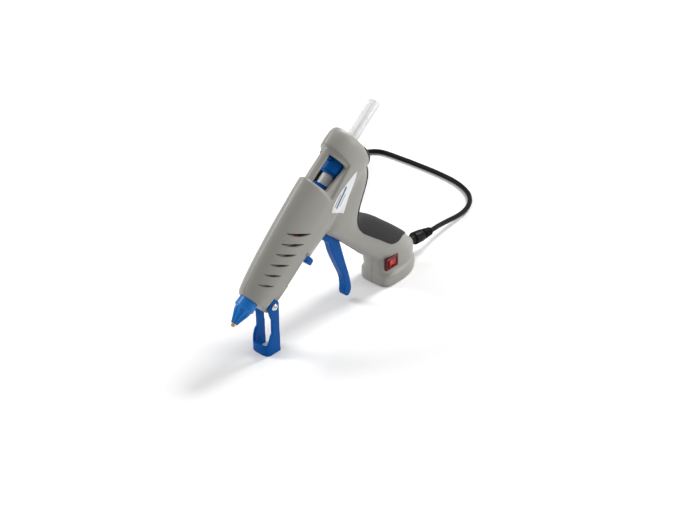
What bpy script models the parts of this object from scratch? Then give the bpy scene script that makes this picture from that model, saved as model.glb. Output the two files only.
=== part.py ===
"""Hot-melt glue gun with a fold-out front stand, as an assembly of separate pieces.

World frame: +Z up, -X towards the nozzle, -Y the gun's left side. The gun stands on its handle base
and on its fold-out stand. Lengths are written in millimetres and turned into metres by MM.
"""
import math

import bmesh
import bpy
from mathutils import Matrix, Vector

MM = 0.001
GAP = 0.3                      # clearance between touching pieces

# Barrel: a local frame with X rearward along the barrel axis and Z up across it
BASE_FRONT_X = 47.93           # world X of the handle base's front
BARREL_ROOT_X = -161.6 + BASE_FRONT_X
BARREL_ROOT_Z = 62.7
BARREL_TILT = math.radians(38.0)
BARREL_LENGTH = 167.0
BARREL_HALF_WIDTH = 17.5
WALL = 2.4

# Glue path, all on the barrel axis
STICK_RADIUS = 5.6
STICK_FRONT = 46.0
STICK_REAR = 208.0
CHAMBER_RADIUS = 9.5
CHAMBER_FRONT = 3.0
CHAMBER_REAR = 66.0
DRIVE_ALONG = 101.0            # where the trigger's cross pin pushes the feed carriage
DRIVE_DOWN = -16.0

# Handle and base
BASE_LENGTH = 56.0
BASE_HALF_WIDTH = 18.5
LIP_HEIGHT = 12.5

# Trigger, stand and switch
TRIGGER_PIVOT = (-64.5 + BASE_FRONT_X, 93.0)
STAND_PIVOT_ALONG = 7.0
STAND_PIVOT_DOWN = -22.0
STAND_HALF_WIDTH = 10.6
SWITCH_X = 9.8 + BASE_FRONT_X
SWITCH_Z = 25.5
SWITCH_FACE_Y = -17.4

# Cord
CORD_RADIUS = 2.5
RELIEF_START = (BASE_FRONT_X + 47.0, 22.5)
RELIEF_END = (BASE_FRONT_X + 88.5, 18.0)
HANK_CENTRE = (BASE_FRONT_X + 121.0, 155.0)
HANK_ANGLE = math.radians(32.0)
HANK_LENGTH = 104.0
HANK_WIDTH = 40.0
HANK_HEIGHT = 18.0
HANK_LANE = 14.0               # how far off the hank's centre line the cord enters and leaves

GREY = (0.33, 0.32, 0.29)
BLUE = (0.010, 0.085, 0.36)
DARK = (0.028, 0.028, 0.030)
BLACK = (0.010, 0.010, 0.011)
STEEL = (0.55, 0.55, 0.56)
BRASS = (0.72, 0.50, 0.20)


# ---------------------------------------------------------------- general helpers

def clear_scene():
    for item in list(bpy.data.objects):
        bpy.data.objects.remove(item, do_unlink=True)


def new_collection(name):
    collection = bpy.data.collections.new(name)
    bpy.context.scene.collection.children.link(collection)
    return collection


def material(name, colour, roughness=0.5, metallic=0.0, alpha=1.0):
    mat = bpy.data.materials.new(name)
    mat.use_nodes = True
    shader = mat.node_tree.nodes["Principled BSDF"]
    shader.inputs["Base Color"].default_value = (*colour, 1.0)
    shader.inputs["Roughness"].default_value = roughness
    shader.inputs["Metallic"].default_value = metallic
    shader.inputs["Alpha"].default_value = alpha
    return mat


def add_object(name, bm, parent=None, collection=None):
    """Turn a bmesh (in millimetres) into an object in metres, smooth across its gentle edges."""
    bmesh.ops.remove_doubles(bm, verts=bm.verts, dist=0.0005)
    bmesh.ops.recalc_face_normals(bm, faces=bm.faces)
    bmesh.ops.scale(bm, vec=(MM, MM, MM), verts=bm.verts)
    mesh = bpy.data.meshes.new(name)
    bm.to_mesh(mesh)
    bm.free()
    mesh.shade_smooth()
    mesh.set_sharp_from_angle(angle=math.radians(35))
    item = bpy.data.objects.new(name, mesh)
    (collection or PARTS).objects.link(item)
    item.parent = parent
    return item


def finish(item, mat, offset=None):
    """Give a piece its material and, when asked, move its origin without moving its shape."""
    item.data.materials.clear()
    item.data.materials.append(mat)
    if offset is not None:
        shift = Vector(offset) * MM
        item.data.transform(Matrix.Translation(-shift))
        item.location = item.location + shift
    return item


def barrel_point(along, up, side=0.0):
    """World point, in millimetres, of a point in the barrel's own frame."""
    cos_t, sin_t = math.cos(BARREL_TILT), math.sin(BARREL_TILT)
    return (BARREL_ROOT_X + along * cos_t - up * sin_t, side, BARREL_ROOT_Z + along * sin_t + up * cos_t)


def box(bm, low, high):
    made = bmesh.ops.create_cube(bm, size=1.0)
    centre = [(a + b) / 2 for a, b in zip(low, high)]
    size = [b - a for a, b in zip(low, high)]
    bmesh.ops.scale(bm, vec=size, verts=made["verts"])
    bmesh.ops.translate(bm, vec=centre, verts=made["verts"])
    return made["verts"]


def cylinder(bm, start, end, radius, end_radius=None, sides=20):
    """A closed cylinder or cone from one point to another."""
    direction = Vector(end) - Vector(start)
    turn = direction.to_track_quat("Z", "Y").to_matrix().to_4x4()
    middle = Matrix.Translation((Vector(start) + Vector(end)) / 2)
    made = bmesh.ops.create_cone(
        bm, cap_ends=True, segments=sides, radius1=radius,
        radius2=radius if end_radius is None else end_radius, depth=direction.length)
    bmesh.ops.transform(bm, matrix=middle @ turn, verts=made["verts"])
    return made["verts"]


def turned(name, profile, mat, sides=24, parent=None):
    """A solid of revolution about local X from (along, radius) points; it may have a bore."""
    bm = bmesh.new()
    rings = []
    for step in range(sides):
        angle = 2 * math.pi * step / sides
        rings.append([bm.verts.new((x, r * math.cos(angle), r * math.sin(angle))) for x, r in profile])
    for ring, after in zip(rings, rings[1:] + rings[:1]):
        for index in range(len(profile)):
            nxt = (index + 1) % len(profile)
            if profile[index][1] > 0 or profile[nxt][1] > 0:
                bm.faces.new((ring[index], ring[nxt], after[nxt], after[index]))
    bmesh.ops.remove_doubles(bm, verts=bm.verts, dist=0.0005)
    bmesh.ops.dissolve_degenerate(bm, dist=0.0005, edges=bm.edges)
    return finish(add_object(name, bm, parent), mat)


def loft(bm, rings):
    """Skin a list of equal-length rings and cap both ends."""
    layers = [[bm.verts.new(point) for point in ring] for ring in rings]
    count = len(layers[0])
    for lower, upper in zip(layers, layers[1:]):
        for index in range(count):
            nxt = (index + 1) % count
            bm.faces.new((lower[index], lower[nxt], upper[nxt], upper[index]))
    bm.faces.new(layers[0])
    bm.faces.new(layers[-1])


def outline_prism(bm, outline, y_low, y_high):
    """A prism whose outline lies in the XZ plane."""
    loft(bm, [[(x, y, z) for x, z in outline] for y in (y_low, y_high)])


def oval_ring(low, waist, high, half_width, n_low, n_high, sides):
    """An egg-shaped ring through low and high (in XZ), widest at waist, symmetric about Y."""
    ring = []
    for step in range(sides):
        angle = 2 * math.pi * (step + 0.5) / sides
        c, s = math.cos(angle), math.sin(angle)
        power = 2.0 / (n_high if c > 0 else n_low)
        reach = abs(c) ** power
        tip = high if c > 0 else low
        x = waist[0] + (tip[0] - waist[0]) * reach
        z = waist[1] + (tip[1] - waist[1]) * reach
        ring.append((x, math.copysign(half_width * abs(s) ** power, s), z))
    return ring


def boolean(target, cutter, operation):
    """Apply an exact boolean to the target, and remove the cutter."""
    modifier = target.modifiers.new(operation.lower(), "BOOLEAN")
    modifier.operation = operation
    modifier.object = cutter
    modifier.solver = "MANIFOLD"
    bpy.context.view_layer.update()
    graph = bpy.context.evaluated_depsgraph_get()
    mesh = bpy.data.meshes.new_from_object(target.evaluated_get(graph))
    target.modifiers.clear()
    target.data = mesh
    bpy.data.objects.remove(cutter, do_unlink=True)


def cutter_object(name, bm, parent=None):
    bmesh.ops.triangulate(bm, faces=bm.faces)
    item = add_object(name, bm, parent, CUTTERS)
    item.hide_render = True
    item.display_type = "WIRE"
    return item


# ---------------------------------------------------------------- body shells

# Barrel sections: along, top, bottom, half width
BARREL_SECTIONS = (
    (-1.0, 10.8, 24.0, 11.6),
    (2.0, 13.0, 26.0, 13.4),
    (14.0, 15.4, 27.5, 14.7),
    (32.0, 18.8, 28.3, 15.6),
    (56.0, 22.0, 28.5, 16.6),
    (84.0, 24.6, 30.5, 17.2),
    (112.0, 26.2, 31.0, 17.4),
    (140.0, 26.6, 30.0, 17.4),
    (158.0, 27.0, 28.0, 17.3),
    (164.5, 25.5, 26.5, 16.6),
    (BARREL_LENGTH, 22.0, 23.5, 14.0),
)

# Handle sections: front and rear points in the side view from the base's front, half width, and how
# square the front is
HANDLE_SECTIONS = (
    ((-78.0, 104.0), (-13.5, 137.0), 14.0, 4.5),
    ((-71.5, 90.5), (-16.0, 121.0), 14.6, 4.5),
    ((-60.5, 81.0), (-23.5, 105.0), 14.6, 4.0),
    ((-47.0, 69.0), (-22.5, 91.0), 14.4, 2.8),
    ((-31.0, 54.0), (-3.0, 76.5), 15.0, 2.4),
    ((-17.0, 41.0), (12.0, 65.0), 15.8, 2.4),
    ((-5.0, 31.0), (28.0, 51.5), 16.2, 2.6),
    ((3.0, 24.0), (42.5, 35.0), 16.2, 3.0),
    ((8.0, 14.0), (48.0, 22.0), 14.5, 3.0),
)

# Base sections: height, front, rear, half width
BASE_SECTIONS = (
    (0.0, 1.2, -1.5, 17.2),
    (1.3, 0.0, 0.0, 18.3),
    (LIP_HEIGHT - 1.0, 0.0, 0.0, BASE_HALF_WIDTH),
    (LIP_HEIGHT + 0.6, 0.6, -0.6, 16.3),
    (20.0, 0.0, 0.0, 16.5),
    (28.0, -1.0, -2.0, 16.5),
    (34.0, 1.0, -14.0, 15.0),
)


def barrel_solid(bm, inset, sides=20):
    rings = []
    for index, (along, top, bottom, width) in enumerate(BARREL_SECTIONS):
        shift = inset if index == 0 else (-inset if index == len(BARREL_SECTIONS) - 1 else 0.0)
        along = min(max(along + shift, BARREL_SECTIONS[0][0] + inset), BARREL_LENGTH - inset)
        if rings and along - rings[-1][0] < 0.5:
            continue
        low = barrel_point(along, -bottom + inset)
        high = barrel_point(along, top - inset)
        waist = barrel_point(along, -2.0)
        ring = oval_ring((low[0], low[2]), (waist[0], waist[2]), (high[0], high[2]),
                         width - inset, 2.9, 1.75, sides)
        rings.append((along, ring))
    loft(bm, [ring for _, ring in rings])


def handle_solid(bm, inset, sides=16):
    rings = []
    for front, rear, width, square in HANDLE_SECTIONS:
        front, rear = Vector(front), Vector(rear)
        pull = (rear - front).normalized() * inset
        low, high = front + pull, rear - pull
        waist = low.lerp(high, 0.5)
        shift = Vector((BASE_FRONT_X, 0.0))
        rings.append(oval_ring(low + shift, waist + shift, high + shift, width - inset, square, 2.3, sides))
    loft(bm, rings)


def base_solid(bm, inset, sides=20):
    rings = []
    for height, front, rear, width in BASE_SECTIONS:
        height = min(max(height, inset), BASE_SECTIONS[-1][0] - inset)
        centre = BASE_FRONT_X + 24.0
        ring = []
        for step in range(sides):
            angle = 2 * math.pi * (step + 0.5) / sides
            c, s = math.cos(angle), math.sin(angle)
            power = 2 / 2.2 if c > 0 else 2 / 4.5
            reach = BASE_LENGTH - 24.0 + rear - inset if c > 0 else 24.0 - front - inset
            ring.append((centre + math.copysign(reach * abs(c) ** power, c),
                         math.copysign((width - inset) * abs(s) ** power, s), height))
        if not rings or height - rings[-1][0][2] > 0.2:
            rings.append(ring)
    loft(bm, rings)


def body_block(name, inset):
    """Barrel, handle and base joined into one block, inset by a wall thickness for the cavity."""
    blocks = []
    for label, maker in (("barrel", barrel_solid), ("handle", handle_solid), ("base", base_solid)):
        bm = bmesh.new()
        maker(bm, inset)
        blocks.append(cutter_object(f"{name}_{label}", bm))
    for extra in blocks[1:]:
        boolean(blocks[0], extra, "UNION")
    blocks[0].name = name
    return blocks[0]


# Shell screws, driven in from the right: along and across the barrel, then world X and Z
BARREL_SCREWS = ((88.0, 14.2), (153.0, 15.0), (152.0, -15.5))
HANDLE_SCREWS = ((-42.0, 107.0), (-14.0, 54.0), (28.0, 8.5))
SCREW_POINTS = [barrel_point(along, up)[::2] for along, up in BARREL_SCREWS]
SCREW_POINTS += [(BASE_FRONT_X + x, z) for x, z in HANDLE_SCREWS]

# Screws of the cord clamp, on either side of the cord's inner end
CLAMP_POINTS = ((BASE_FRONT_X + 37.0, 18.4), (BASE_FRONT_X + 37.0, 28.7))

# Stand nests, vents and window, all in the barrel's frame
NEST_HALF_WIDTH = 7.6
VENT_FIRST = 17.0
VENT_PITCH = 10.2
VENT_COUNT = 6
WINDOW = ((109.0, 141.5), (1.0, 40.0))


def body_cutters():
    """Everything that opens the finished shells, joined into groups of solids that don't touch."""
    bm = bmesh.new()
    cylinder(bm, (-6.0, 0, 0), (6.0, 0, 0), 9.0, sides=24)
    cylinder(bm, (BARREL_LENGTH - 12, 0, 0), (BARREL_LENGTH + 4, 0, 0), STICK_RADIUS + 1.2, sides=24)
    nest = ((-4.0, -40.0), (62.0, -40.0), (62.0, -14.6), (20.0, -14.6), (15.0, -13.0), (-4.0, -13.0))
    for side in (-1, 1):
        outline_prism(bm, nest, *sorted((side * NEST_HALF_WIDTH, side * 30.0)))
    first = cutter_object("openings_axis", bm, BARREL)

    bm = bmesh.new()
    (a_low, a_high), (h_low, h_high) = WINDOW
    for side in (-1, 1):
        outline = ((a_low, h_low), (a_high + 1.0, h_low + 4.0), (a_high, h_high), (a_low - 3.0, h_high))
        y_low, y_high = sorted((side * 5.5, side * 30.0))
        outline_prism(bm, outline, y_low, y_high)
    window = cutter_object("openings_window", bm, BARREL)

    bm = bmesh.new()
    for side in (-1, 1):
        for index in range(VENT_COUNT):
            vent_slot(bm, VENT_FIRST + VENT_PITCH * index, side)
    vents = cutter_object("openings_vents", bm, BARREL)

    bm = bmesh.new()
    pivot_x, pivot_z = TRIGGER_PIVOT
    front = BASE_FRONT_X
    outline = ((pivot_x - 13.0, pivot_z - 13.0), (front - 17.5, 38.0), (front - 19.0, 46.0), (front - 23.5, 56.0),
               (pivot_x + 22.0, pivot_z - 2.0), (pivot_x - 8.0, pivot_z + 10.0), (pivot_x - 17.0, pivot_z + 1.0))
    outline_prism(bm, outline, -5.6, 5.6)
    box(bm, (SWITCH_X - 7.0, -25.0, SWITCH_Z - 4.8), (SWITCH_X + 7.0, -6.0, SWITCH_Z + 4.8))
    cylinder(bm, relief_point(-4.0), relief_point(12.0), 4.9, sides=20)
    catch_x, _, catch_z = barrel_point(60.0, -30.0)
    box(bm, (catch_x - 4.4, -4.0, catch_z - 12.0), (catch_x + 4.4, 4.0, catch_z + 9.0))
    rest = cutter_object("openings_rest", bm)
    return first, window, vents, rest


def relief_point(distance):
    """Point on the strain relief's own axis, a distance rearward of its start."""
    start, end = Vector(RELIEF_START), Vector(RELIEF_END)
    point = start + (end - start).normalized() * distance
    return (point.x, 0.0, point.y)


def vent_slot(bm, along, side):
    """One curved cooling slot that runs down the barrel's side."""
    half = 1.35
    points = [(along - 3.6, 18.5), (along - 1.9, 13.5), (along + 0.4, 8.5), (along + 3.6, 3.5), (along + 8.0, -0.5)]
    left, right = [], []
    for index, (x, z) in enumerate(points):
        before = points[max(index - 1, 0)]
        after = points[min(index + 1, len(points) - 1)]
        run = Vector((after[0] - before[0], after[1] - before[1])).normalized()
        thin = half * (0.55 if index in (0, len(points) - 1) else 1.0)
        left.append((x - run.y * thin, z + run.x * thin))
        right.append((x + run.y * thin, z - run.x * thin))
    y_low, y_high = sorted((side * 8.5, side * 30.0))
    outline_prism(bm, left + right[::-1], y_low, y_high)


def shell_inside():
    """Screw bosses and the ribs that hold the melt chamber, both left standing in the cavity."""
    bm = bmesh.new()
    for x, z in SCREW_POINTS:
        cylinder(bm, (x, -22.0, z), (x, 22.0, z), 3.6, sides=8)
    for x, z in CLAMP_POINTS:
        cylinder(bm, (x, -22.0, z), (x, 0.0, z), 2.2, sides=8)
    stand_x, _, stand_z = barrel_point(STAND_PIVOT_ALONG, STAND_PIVOT_DOWN)
    cylinder(bm, (stand_x, -12.0, stand_z), (stand_x, 12.0, stand_z), 3.8, sides=8)
    bosses = cutter_object("screw_bosses", bm)
    bm = bmesh.new()
    for along in (12.0, 55.0):
        box(bm, (along, -22.0, -34.0), (along + 2.0, 22.0, 34.0))
    ribs = cutter_object("chamber_ribs", bm, BARREL)
    for make in (lambda bm: cylinder(bm, (0.0, 0, 0), (80.0, 0, 0), CHAMBER_RADIUS + GAP, sides=28),
                 lambda bm: box(bm, (0.5, -6.6, -19.0), (80.0, 6.6, 1.0))):
        bm = bmesh.new()
        make(bm)
        boolean(ribs, cutter_object("chamber_room", bm, BARREL), "DIFFERENCE")
    return bosses, ribs


def shells():
    """Hollow body split on the centre plane into a left and a right shell."""
    body = body_block("body_block", 0.0)
    cavity = body_block("cavity_block", WALL)
    bm = bmesh.new()
    for side in (-1, 1):
        y_low, y_high = sorted((side * (NEST_HALF_WIDTH - WALL + 0.4), side * 30.0))
        box(bm, (-8.0, y_low, -44.0), (64.5, y_high, -11.0))
    boolean(cavity, cutter_object("nest_backing", bm, BARREL), "DIFFERENCE")
    bosses, ribs = shell_inside()
    boolean(cavity, bosses, "DIFFERENCE")
    boolean(cavity, ribs, "DIFFERENCE")
    boolean(body, cavity, "DIFFERENCE")
    for opening in body_cutters():
        boolean(body, opening, "DIFFERENCE")

    halves = []
    for name, side in (("left_shell", -1), ("right_shell", 1)):
        half = body.copy()
        half.data = body.data.copy()
        half.name = name
        PARTS.objects.link(half)
        bm = bmesh.new()
        y_low, y_high = sorted((side * GAP / 2, side * 60.0))
        box(bm, (-300, y_low, -60), (300, y_high, 320))
        boolean(half, cutter_object(f"{name}_side", bm), "INTERSECT")
        bm = bmesh.new()
        for x, z in SCREW_POINTS:
            if side < 0:
                cylinder(bm, (x, -9.0, z), (x, 1.0, z), 1.3, sides=8)
            else:
                cylinder(bm, (x, -1.0, z), (x, 40.0, z), 1.6, sides=8)
        if side < 0:
            for x, z in CLAMP_POINTS:
                cylinder(bm, (x, -8.0, z), (x, 1.0, z), 1.3, sides=8)
        stand_x, _, stand_z = barrel_point(STAND_PIVOT_ALONG, STAND_PIVOT_DOWN)
        cylinder(bm, (stand_x, side * 2.0, stand_z), (stand_x, side * 14.0, stand_z), 1.9, sides=10)
        boolean(half, cutter_object(f"{name}_holes", bm), "DIFFERENCE")
        bm = bmesh.new()
        if side > 0:
            for x, z in SCREW_POINTS:
                cylinder(bm, (x, 9.5, z), (x, 40.0, z), 3.0, sides=12)
        else:
            edge = SWITCH_FACE_Y + 3.2 + GAP
            box(bm, (SWITCH_X - 8.7, -30.0, SWITCH_Z - 6.5), (SWITCH_X + 8.7, edge, SWITCH_Z + 6.5))
        boolean(half, cutter_object(f"{name}_pockets", bm), "DIFFERENCE")
        half.hide_render = False
        half.display_type = "TEXTURED"
        half.data.shade_smooth()
        half.data.set_sharp_from_angle(angle=math.radians(35))
        halves.append(finish(half, material(name, GREY, 0.45)))
    bpy.data.objects.remove(body, do_unlink=True)
    return halves


def shell_screws():
    mat = material("shell_screw", STEEL, 0.3, 1.0)
    for index, (x, z) in enumerate(SCREW_POINTS):
        bm = bmesh.new()
        outline = ((-7.0, 1.0), (9.8, 1.0), (9.8, 2.5), (12.0, 2.5))
        rings = []
        for y, radius in outline:
            rings.append([(x + radius * math.cos(k * math.pi / 6), y, z + radius * math.sin(k * math.pi / 6))
                          for k in range(12)])
        loft(bm, rings)
        finish(add_object(f"shell_screw_{index + 1}", bm), mat, (x, 0, z))


# ---------------------------------------------------------------- pieces outside the shells

def soft_grip():
    """Rubber grip over the back of the handle and up the rear spine, a thin skin on both shells."""
    rings_out, rings_in = [], []
    for front, rear, width, square in HANDLE_SECTIONS[2:7]:
        front, rear = Vector(front), Vector(rear)
        shift = Vector((BASE_FRONT_X, 0.0))
        waist = front.lerp(rear, 0.5)
        for rings, lift in ((rings_out, GAP + 1.5), (rings_in, GAP)):
            push = (rear - front).normalized() * lift
            ring = oval_ring(front - push + shift, waist + shift, rear + push + shift, width + lift, square, 2.3, 36)
            upper = [point for point in ring if (Vector((point[0], point[2])) - waist - shift).dot(rear - front) > 0]
            upper.sort(key=lambda point: point[1])
            rings.append(upper[1:-1])
    sides = len(rings_out[0])
    bm = bmesh.new()
    outer = [[bm.verts.new(p) for p in ring] for ring in rings_out]
    inner = [[bm.verts.new(p) for p in ring] for ring in rings_in]
    for grid, flip in ((outer, False), (inner, True)):
        for row, nxt in zip(grid, grid[1:]):
            for k in range(sides - 1):
                quad = (row[k], row[k + 1], nxt[k + 1], nxt[k])
                bm.faces.new(quad[::-1] if flip else quad)
    for k in range(sides - 1):
        bm.faces.new((outer[0][k], outer[0][k + 1], inner[0][k + 1], inner[0][k]))
        bm.faces.new((outer[-1][k + 1], outer[-1][k], inner[-1][k], inner[-1][k + 1]))
    for o_row, o_nxt, i_row, i_nxt in zip(outer, outer[1:], inner, inner[1:]):
        bm.faces.new((o_nxt[0], o_row[0], i_row[0], i_nxt[0]))
        bm.faces.new((o_row[-1], o_nxt[-1], i_nxt[-1], i_row[-1]))
    finish(add_object("soft_grip", bm), material("soft_grip", DARK, 0.8))


def rating_label():
    """Tapered sticker on the left side behind the window."""
    bm = bmesh.new()
    outline = ((106.0, -5.5), (139.5, -4.5), (140.5, -8.0), (113.0, -21.5), (104.0, -14.0))
    outline_prism(bm, outline, -BARREL_HALF_WIDTH - 0.65, -BARREL_HALF_WIDTH - 0.25)
    finish(add_object("label", bm, BARREL), material("label", (0.85, 0.85, 0.85), 0.4))


def nozzle_sleeve():
    profile = [(0.0, 4.6), (0.0, 8.6), (-9.5, 9.1), (-10.0, 7.8)]
    profile += [(-10.0 - 2.7 * k + shift, 7.8 - 0.95 * k - drop)
                for k in range(1, 6) for shift, drop in ((0.4, 0.35), (0.0, 0.0))]
    profile += [(-25.0, 2.9), (-25.0, 2.5), (-20.0, 2.7), (-8.0, 4.6)]
    turned("nozzle_sleeve", profile, material("nozzle_sleeve", BLUE, 0.45), 20, BARREL)


def nozzle_tip():
    profile = [(-28.0, 0.9), (-28.0, 1.7), (-25.0, 2.4), (-20.0, 2.4), (-8.0, 4.3), (8.0, 4.3),
               (8.0, 2.6), (-2.4, 2.6), (-2.4, 2.0), (-16.0, 0.9)]
    turned("nozzle_tip", profile, material("nozzle_tip", BRASS, 0.3, 1.0), 24, BARREL)


def check_valve():
    """Ball and spring that keep the nozzle from dripping."""
    bm = bmesh.new()
    bmesh.ops.create_icosphere(bm, subdivisions=2, radius=2.3)
    bmesh.ops.translate(bm, vec=(5.8, 0, 0), verts=bm.verts)
    finish(add_object("valve_ball", bm, BARREL), material("valve_ball", STEEL, 0.2, 1.0), (5.8, 0, 0))
    coil("valve_spring", -2.0, 2.6, 1.9, 0.3, 4, BARREL, 8)


def coil(name, start, end, radius, wire, turns, parent, per_turn=10):
    """A compression spring along the parent's X axis."""
    curve = bpy.data.curves.new(name, "CURVE")
    curve.dimensions = "3D"
    curve.bevel_depth = wire * MM
    curve.bevel_resolution = 0
    curve.use_fill_caps = True
    count = turns * per_turn + 1
    spline = curve.splines.new("POLY")
    spline.points.add(count - 1)
    for index in range(count):
        angle = 2 * math.pi * index / per_turn
        along = start + (end - start) * index / (count - 1)
        spline.points[index].co = (along * MM, radius * math.cos(angle) * MM, radius * math.sin(angle) * MM, 1)
    item = bpy.data.objects.new(name, curve)
    PARTS.objects.link(item)
    item.parent = parent
    curve.materials.append(material(name, STEEL, 0.3, 1.0))
    return item


def melt_chamber():
    back, front = CHAMBER_REAR, CHAMBER_FRONT
    profile = [(front, 4.6), (front, CHAMBER_RADIUS), (back, CHAMBER_RADIUS), (back, STICK_RADIUS + 0.6),
               (26.0, STICK_RADIUS + 0.4), (12.0, 2.2), (8.4, 2.2), (8.4, 4.6)]
    turned("melt_chamber", profile, material("melt_chamber", (0.7, 0.7, 0.72), 0.35, 1.0), 28, BARREL)


def heater():
    bm = bmesh.new()
    box(bm, (22.0, -4.3, -12.6), (50.0, 4.3, -9.9))
    finish(add_object("heater_plate", bm, BARREL), material("heater_plate", (0.75, 0.73, 0.68), 0.6))
    bm = bmesh.new()
    thick = 0.6
    inner = [(4.7, -6.0), (4.7, -13.2), (-4.7, -13.2), (-4.7, -6.0)]
    outer = [(-4.7 - thick, -7.0), (-4.7 - thick, -13.2 - thick), (4.7 + thick, -13.2 - thick), (4.7 + thick, -7.0)]
    loft(bm, [[(x, y, z) for y, z in inner + outer] for x in (30.0, 42.0)])
    cylinder_cut = bmesh.new()
    cylinder(cylinder_cut, (20.0, 0, 0), (60.0, 0, 0), CHAMBER_RADIUS + GAP, sides=28)
    clip = add_object("heater_clip", bm, BARREL)
    boolean(clip, cutter_object("clip_room", cylinder_cut, BARREL), "DIFFERENCE")
    finish(clip, material("heater_clip", STEEL, 0.35, 1.0))


def guides():
    """Silicone inlet sleeve on the chamber, and the fixed guide seen in the window."""
    inlet = [(CHAMBER_REAR + GAP, STICK_RADIUS + 0.5), (CHAMBER_REAR + GAP, 8.8), (84.0, 8.2),
             (84.0, STICK_RADIUS + 0.5)]
    turned("inlet_sleeve", inlet, material("inlet_sleeve", (0.45, 0.10, 0.06), 0.6), 24, BARREL)
    front = [(104.0, STICK_RADIUS + 0.6), (104.0, 9.2), (115.0, 9.2), (118.0, 8.2), (118.0, STICK_RADIUS + 0.6)]
    turned("front_guide", front, material("front_guide", BLUE, 0.4), 28, BARREL)


def fused(name, pieces, parent=None):
    """One closed object from overlapping solids, each made by its own small function of a bmesh."""
    whole = None
    for index, make in enumerate(pieces):
        bm = bmesh.new()
        make(bm)
        if whole is None:
            whole = add_object(name, bm, parent)
        else:
            boolean(whole, cutter_object(f"{name}_{index}", bm, parent), "UNION")
    return whole


def cut(item, make, parent=None):
    bm = bmesh.new()
    make(bm)
    boolean(item, cutter_object(f"{item.name}_cut", bm, parent), "DIFFERENCE")
    item.data.shade_smooth()
    item.data.set_sharp_from_angle(angle=math.radians(35))


def feed_carriage():
    """Sliding collar behind the window, with a bar and two lugs that the trigger's cross pin drives."""
    def bar(bm):
        box(bm, (DRIVE_ALONG - 4.0, -2.0, -12.3), (134.0, 2.0, -9.8))

    def lug(low, high):
        return lambda bm: box(bm, (DRIVE_ALONG + low, -2.0, DRIVE_DOWN - 3.0), (DRIVE_ALONG + high, 2.0, -11.0))

    item = fused("feed_carriage", (
        lambda bm: cylinder(bm, (131.0, 0, 0), (147.0, 0, 0), 10.4, sides=28),
        lambda bm: cylinder(bm, (129.0, 0, 0), (132.0, 0, 0), 8.8, sides=28),
        bar, lug(-4.0, -2.0), lug(2.0, 4.0)), BARREL)
    cut(item, lambda bm: cylinder(bm, (120.0, 0, 0), (160.0, 0, 0), STICK_RADIUS + 0.5, sides=28), BARREL)
    cut(item, lambda bm: box(bm, (138.5, -2.3, 0.0), (143.5, 2.3, 14.0)), BARREL)
    finish(item, material("feed_carriage", BLUE, 0.4))


def grip_lever():
    """Toothed pawl on top of the carriage that bites the stick as the carriage moves forward."""
    bm = bmesh.new()
    outline = ((139.2, 6.2), (141.0, 5.9), (143.0, 8.0), (142.6, 12.6), (139.4, 12.6))
    outline_prism(bm, outline, -1.9, 1.9)
    item = add_object("grip_lever", bm, BARREL)
    finish(item, material("grip_lever", STEEL, 0.3, 1.0), (141.0, 0, 11.0))


def glue_stick():
    profile = [(STICK_FRONT, 0.0), (STICK_FRONT + 1.0, STICK_RADIUS - 0.6), (STICK_FRONT + 3.0, STICK_RADIUS),
               (STICK_REAR - 0.6, STICK_RADIUS), (STICK_REAR, STICK_RADIUS - 0.5), (STICK_REAR, 0.0)]
    turned("glue_stick", profile, material("glue_stick", (0.86, 0.86, 0.83), 0.25, 0.0, 0.6), 28, BARREL)


def trigger():
    """Finger lever with a shield in front, and a fork above its pivot that carries the cross pin."""
    x, z = TRIGGER_PIVOT
    front = BASE_FRONT_X
    blade = ((-73.0, 85.0), (-68.5, 79.5), (-63.0, 75.0), (-58.6, 61.5), (-51.5, 45.5), (-44.6, 30.8),
             (-42.2, 21.0), (-42.6, 13.0), (-41.6, 8.6), (-38.6, 6.4), (-35.4, 7.6), (-33.6, 12.0), (-34.0, 18.5),
             (-36.8, 30.4), (-41.0, 43.4), (-45.5, 58.2), (-50.0, 72.7), (-54.6, 83.0),
             (-58.5, 92.0), (-63.0, 98.0), (-70.0, 98.0), (-74.0, 93.0))
    drive = barrel_point(DRIVE_ALONG, DRIVE_DOWN)

    def body(bm):
        outline_prism(bm, [(front + u, v) for u, v in blade], -3.9, 3.9)

    def plate(low, high):
        outline = ((x - 5.0, z - 2.0), (x + 5.0, z - 2.0), (drive[0] + 3.0, drive[2] + 0.5),
                   (drive[0] + 1.2, drive[2] + 3.0), (drive[0] - 1.6, drive[2] + 3.0), (drive[0] - 3.2, drive[2]))
        return lambda bm: outline_prism(bm, outline, low, high)

    def cross_pin(bm):
        cylinder(bm, (drive[0], -4.0, drive[2]), (drive[0], 4.0, drive[2]), 1.6, sides=14)

    item = fused("trigger", (body, plate(-4.8, -2.5), plate(2.5, 4.8), cross_pin))
    cut(item, lambda bm: cylinder(bm, (x, -10, z), (x, 10, z), 2.3, sides=16))
    finish(item, material("trigger", BLUE, 0.4), (x, 0, z))

    bm = bmesh.new()
    cylinder(bm, (x, -9.4, z), (x, 9.4, z), 2.0, sides=16)
    finish(add_object("trigger_pin", bm), material("trigger_pin", STEEL, 0.3, 1.0))
    holder = bpy.data.objects.new("trigger_spring_axis", None)
    PARTS.objects.link(holder)
    holder.location = (x * MM, 0, z * MM)
    holder.rotation_euler = (0, 0, math.pi / 2)
    coil("trigger_spring", 6.4, 7.8, 2.6, 0.3, 3, holder)


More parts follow.
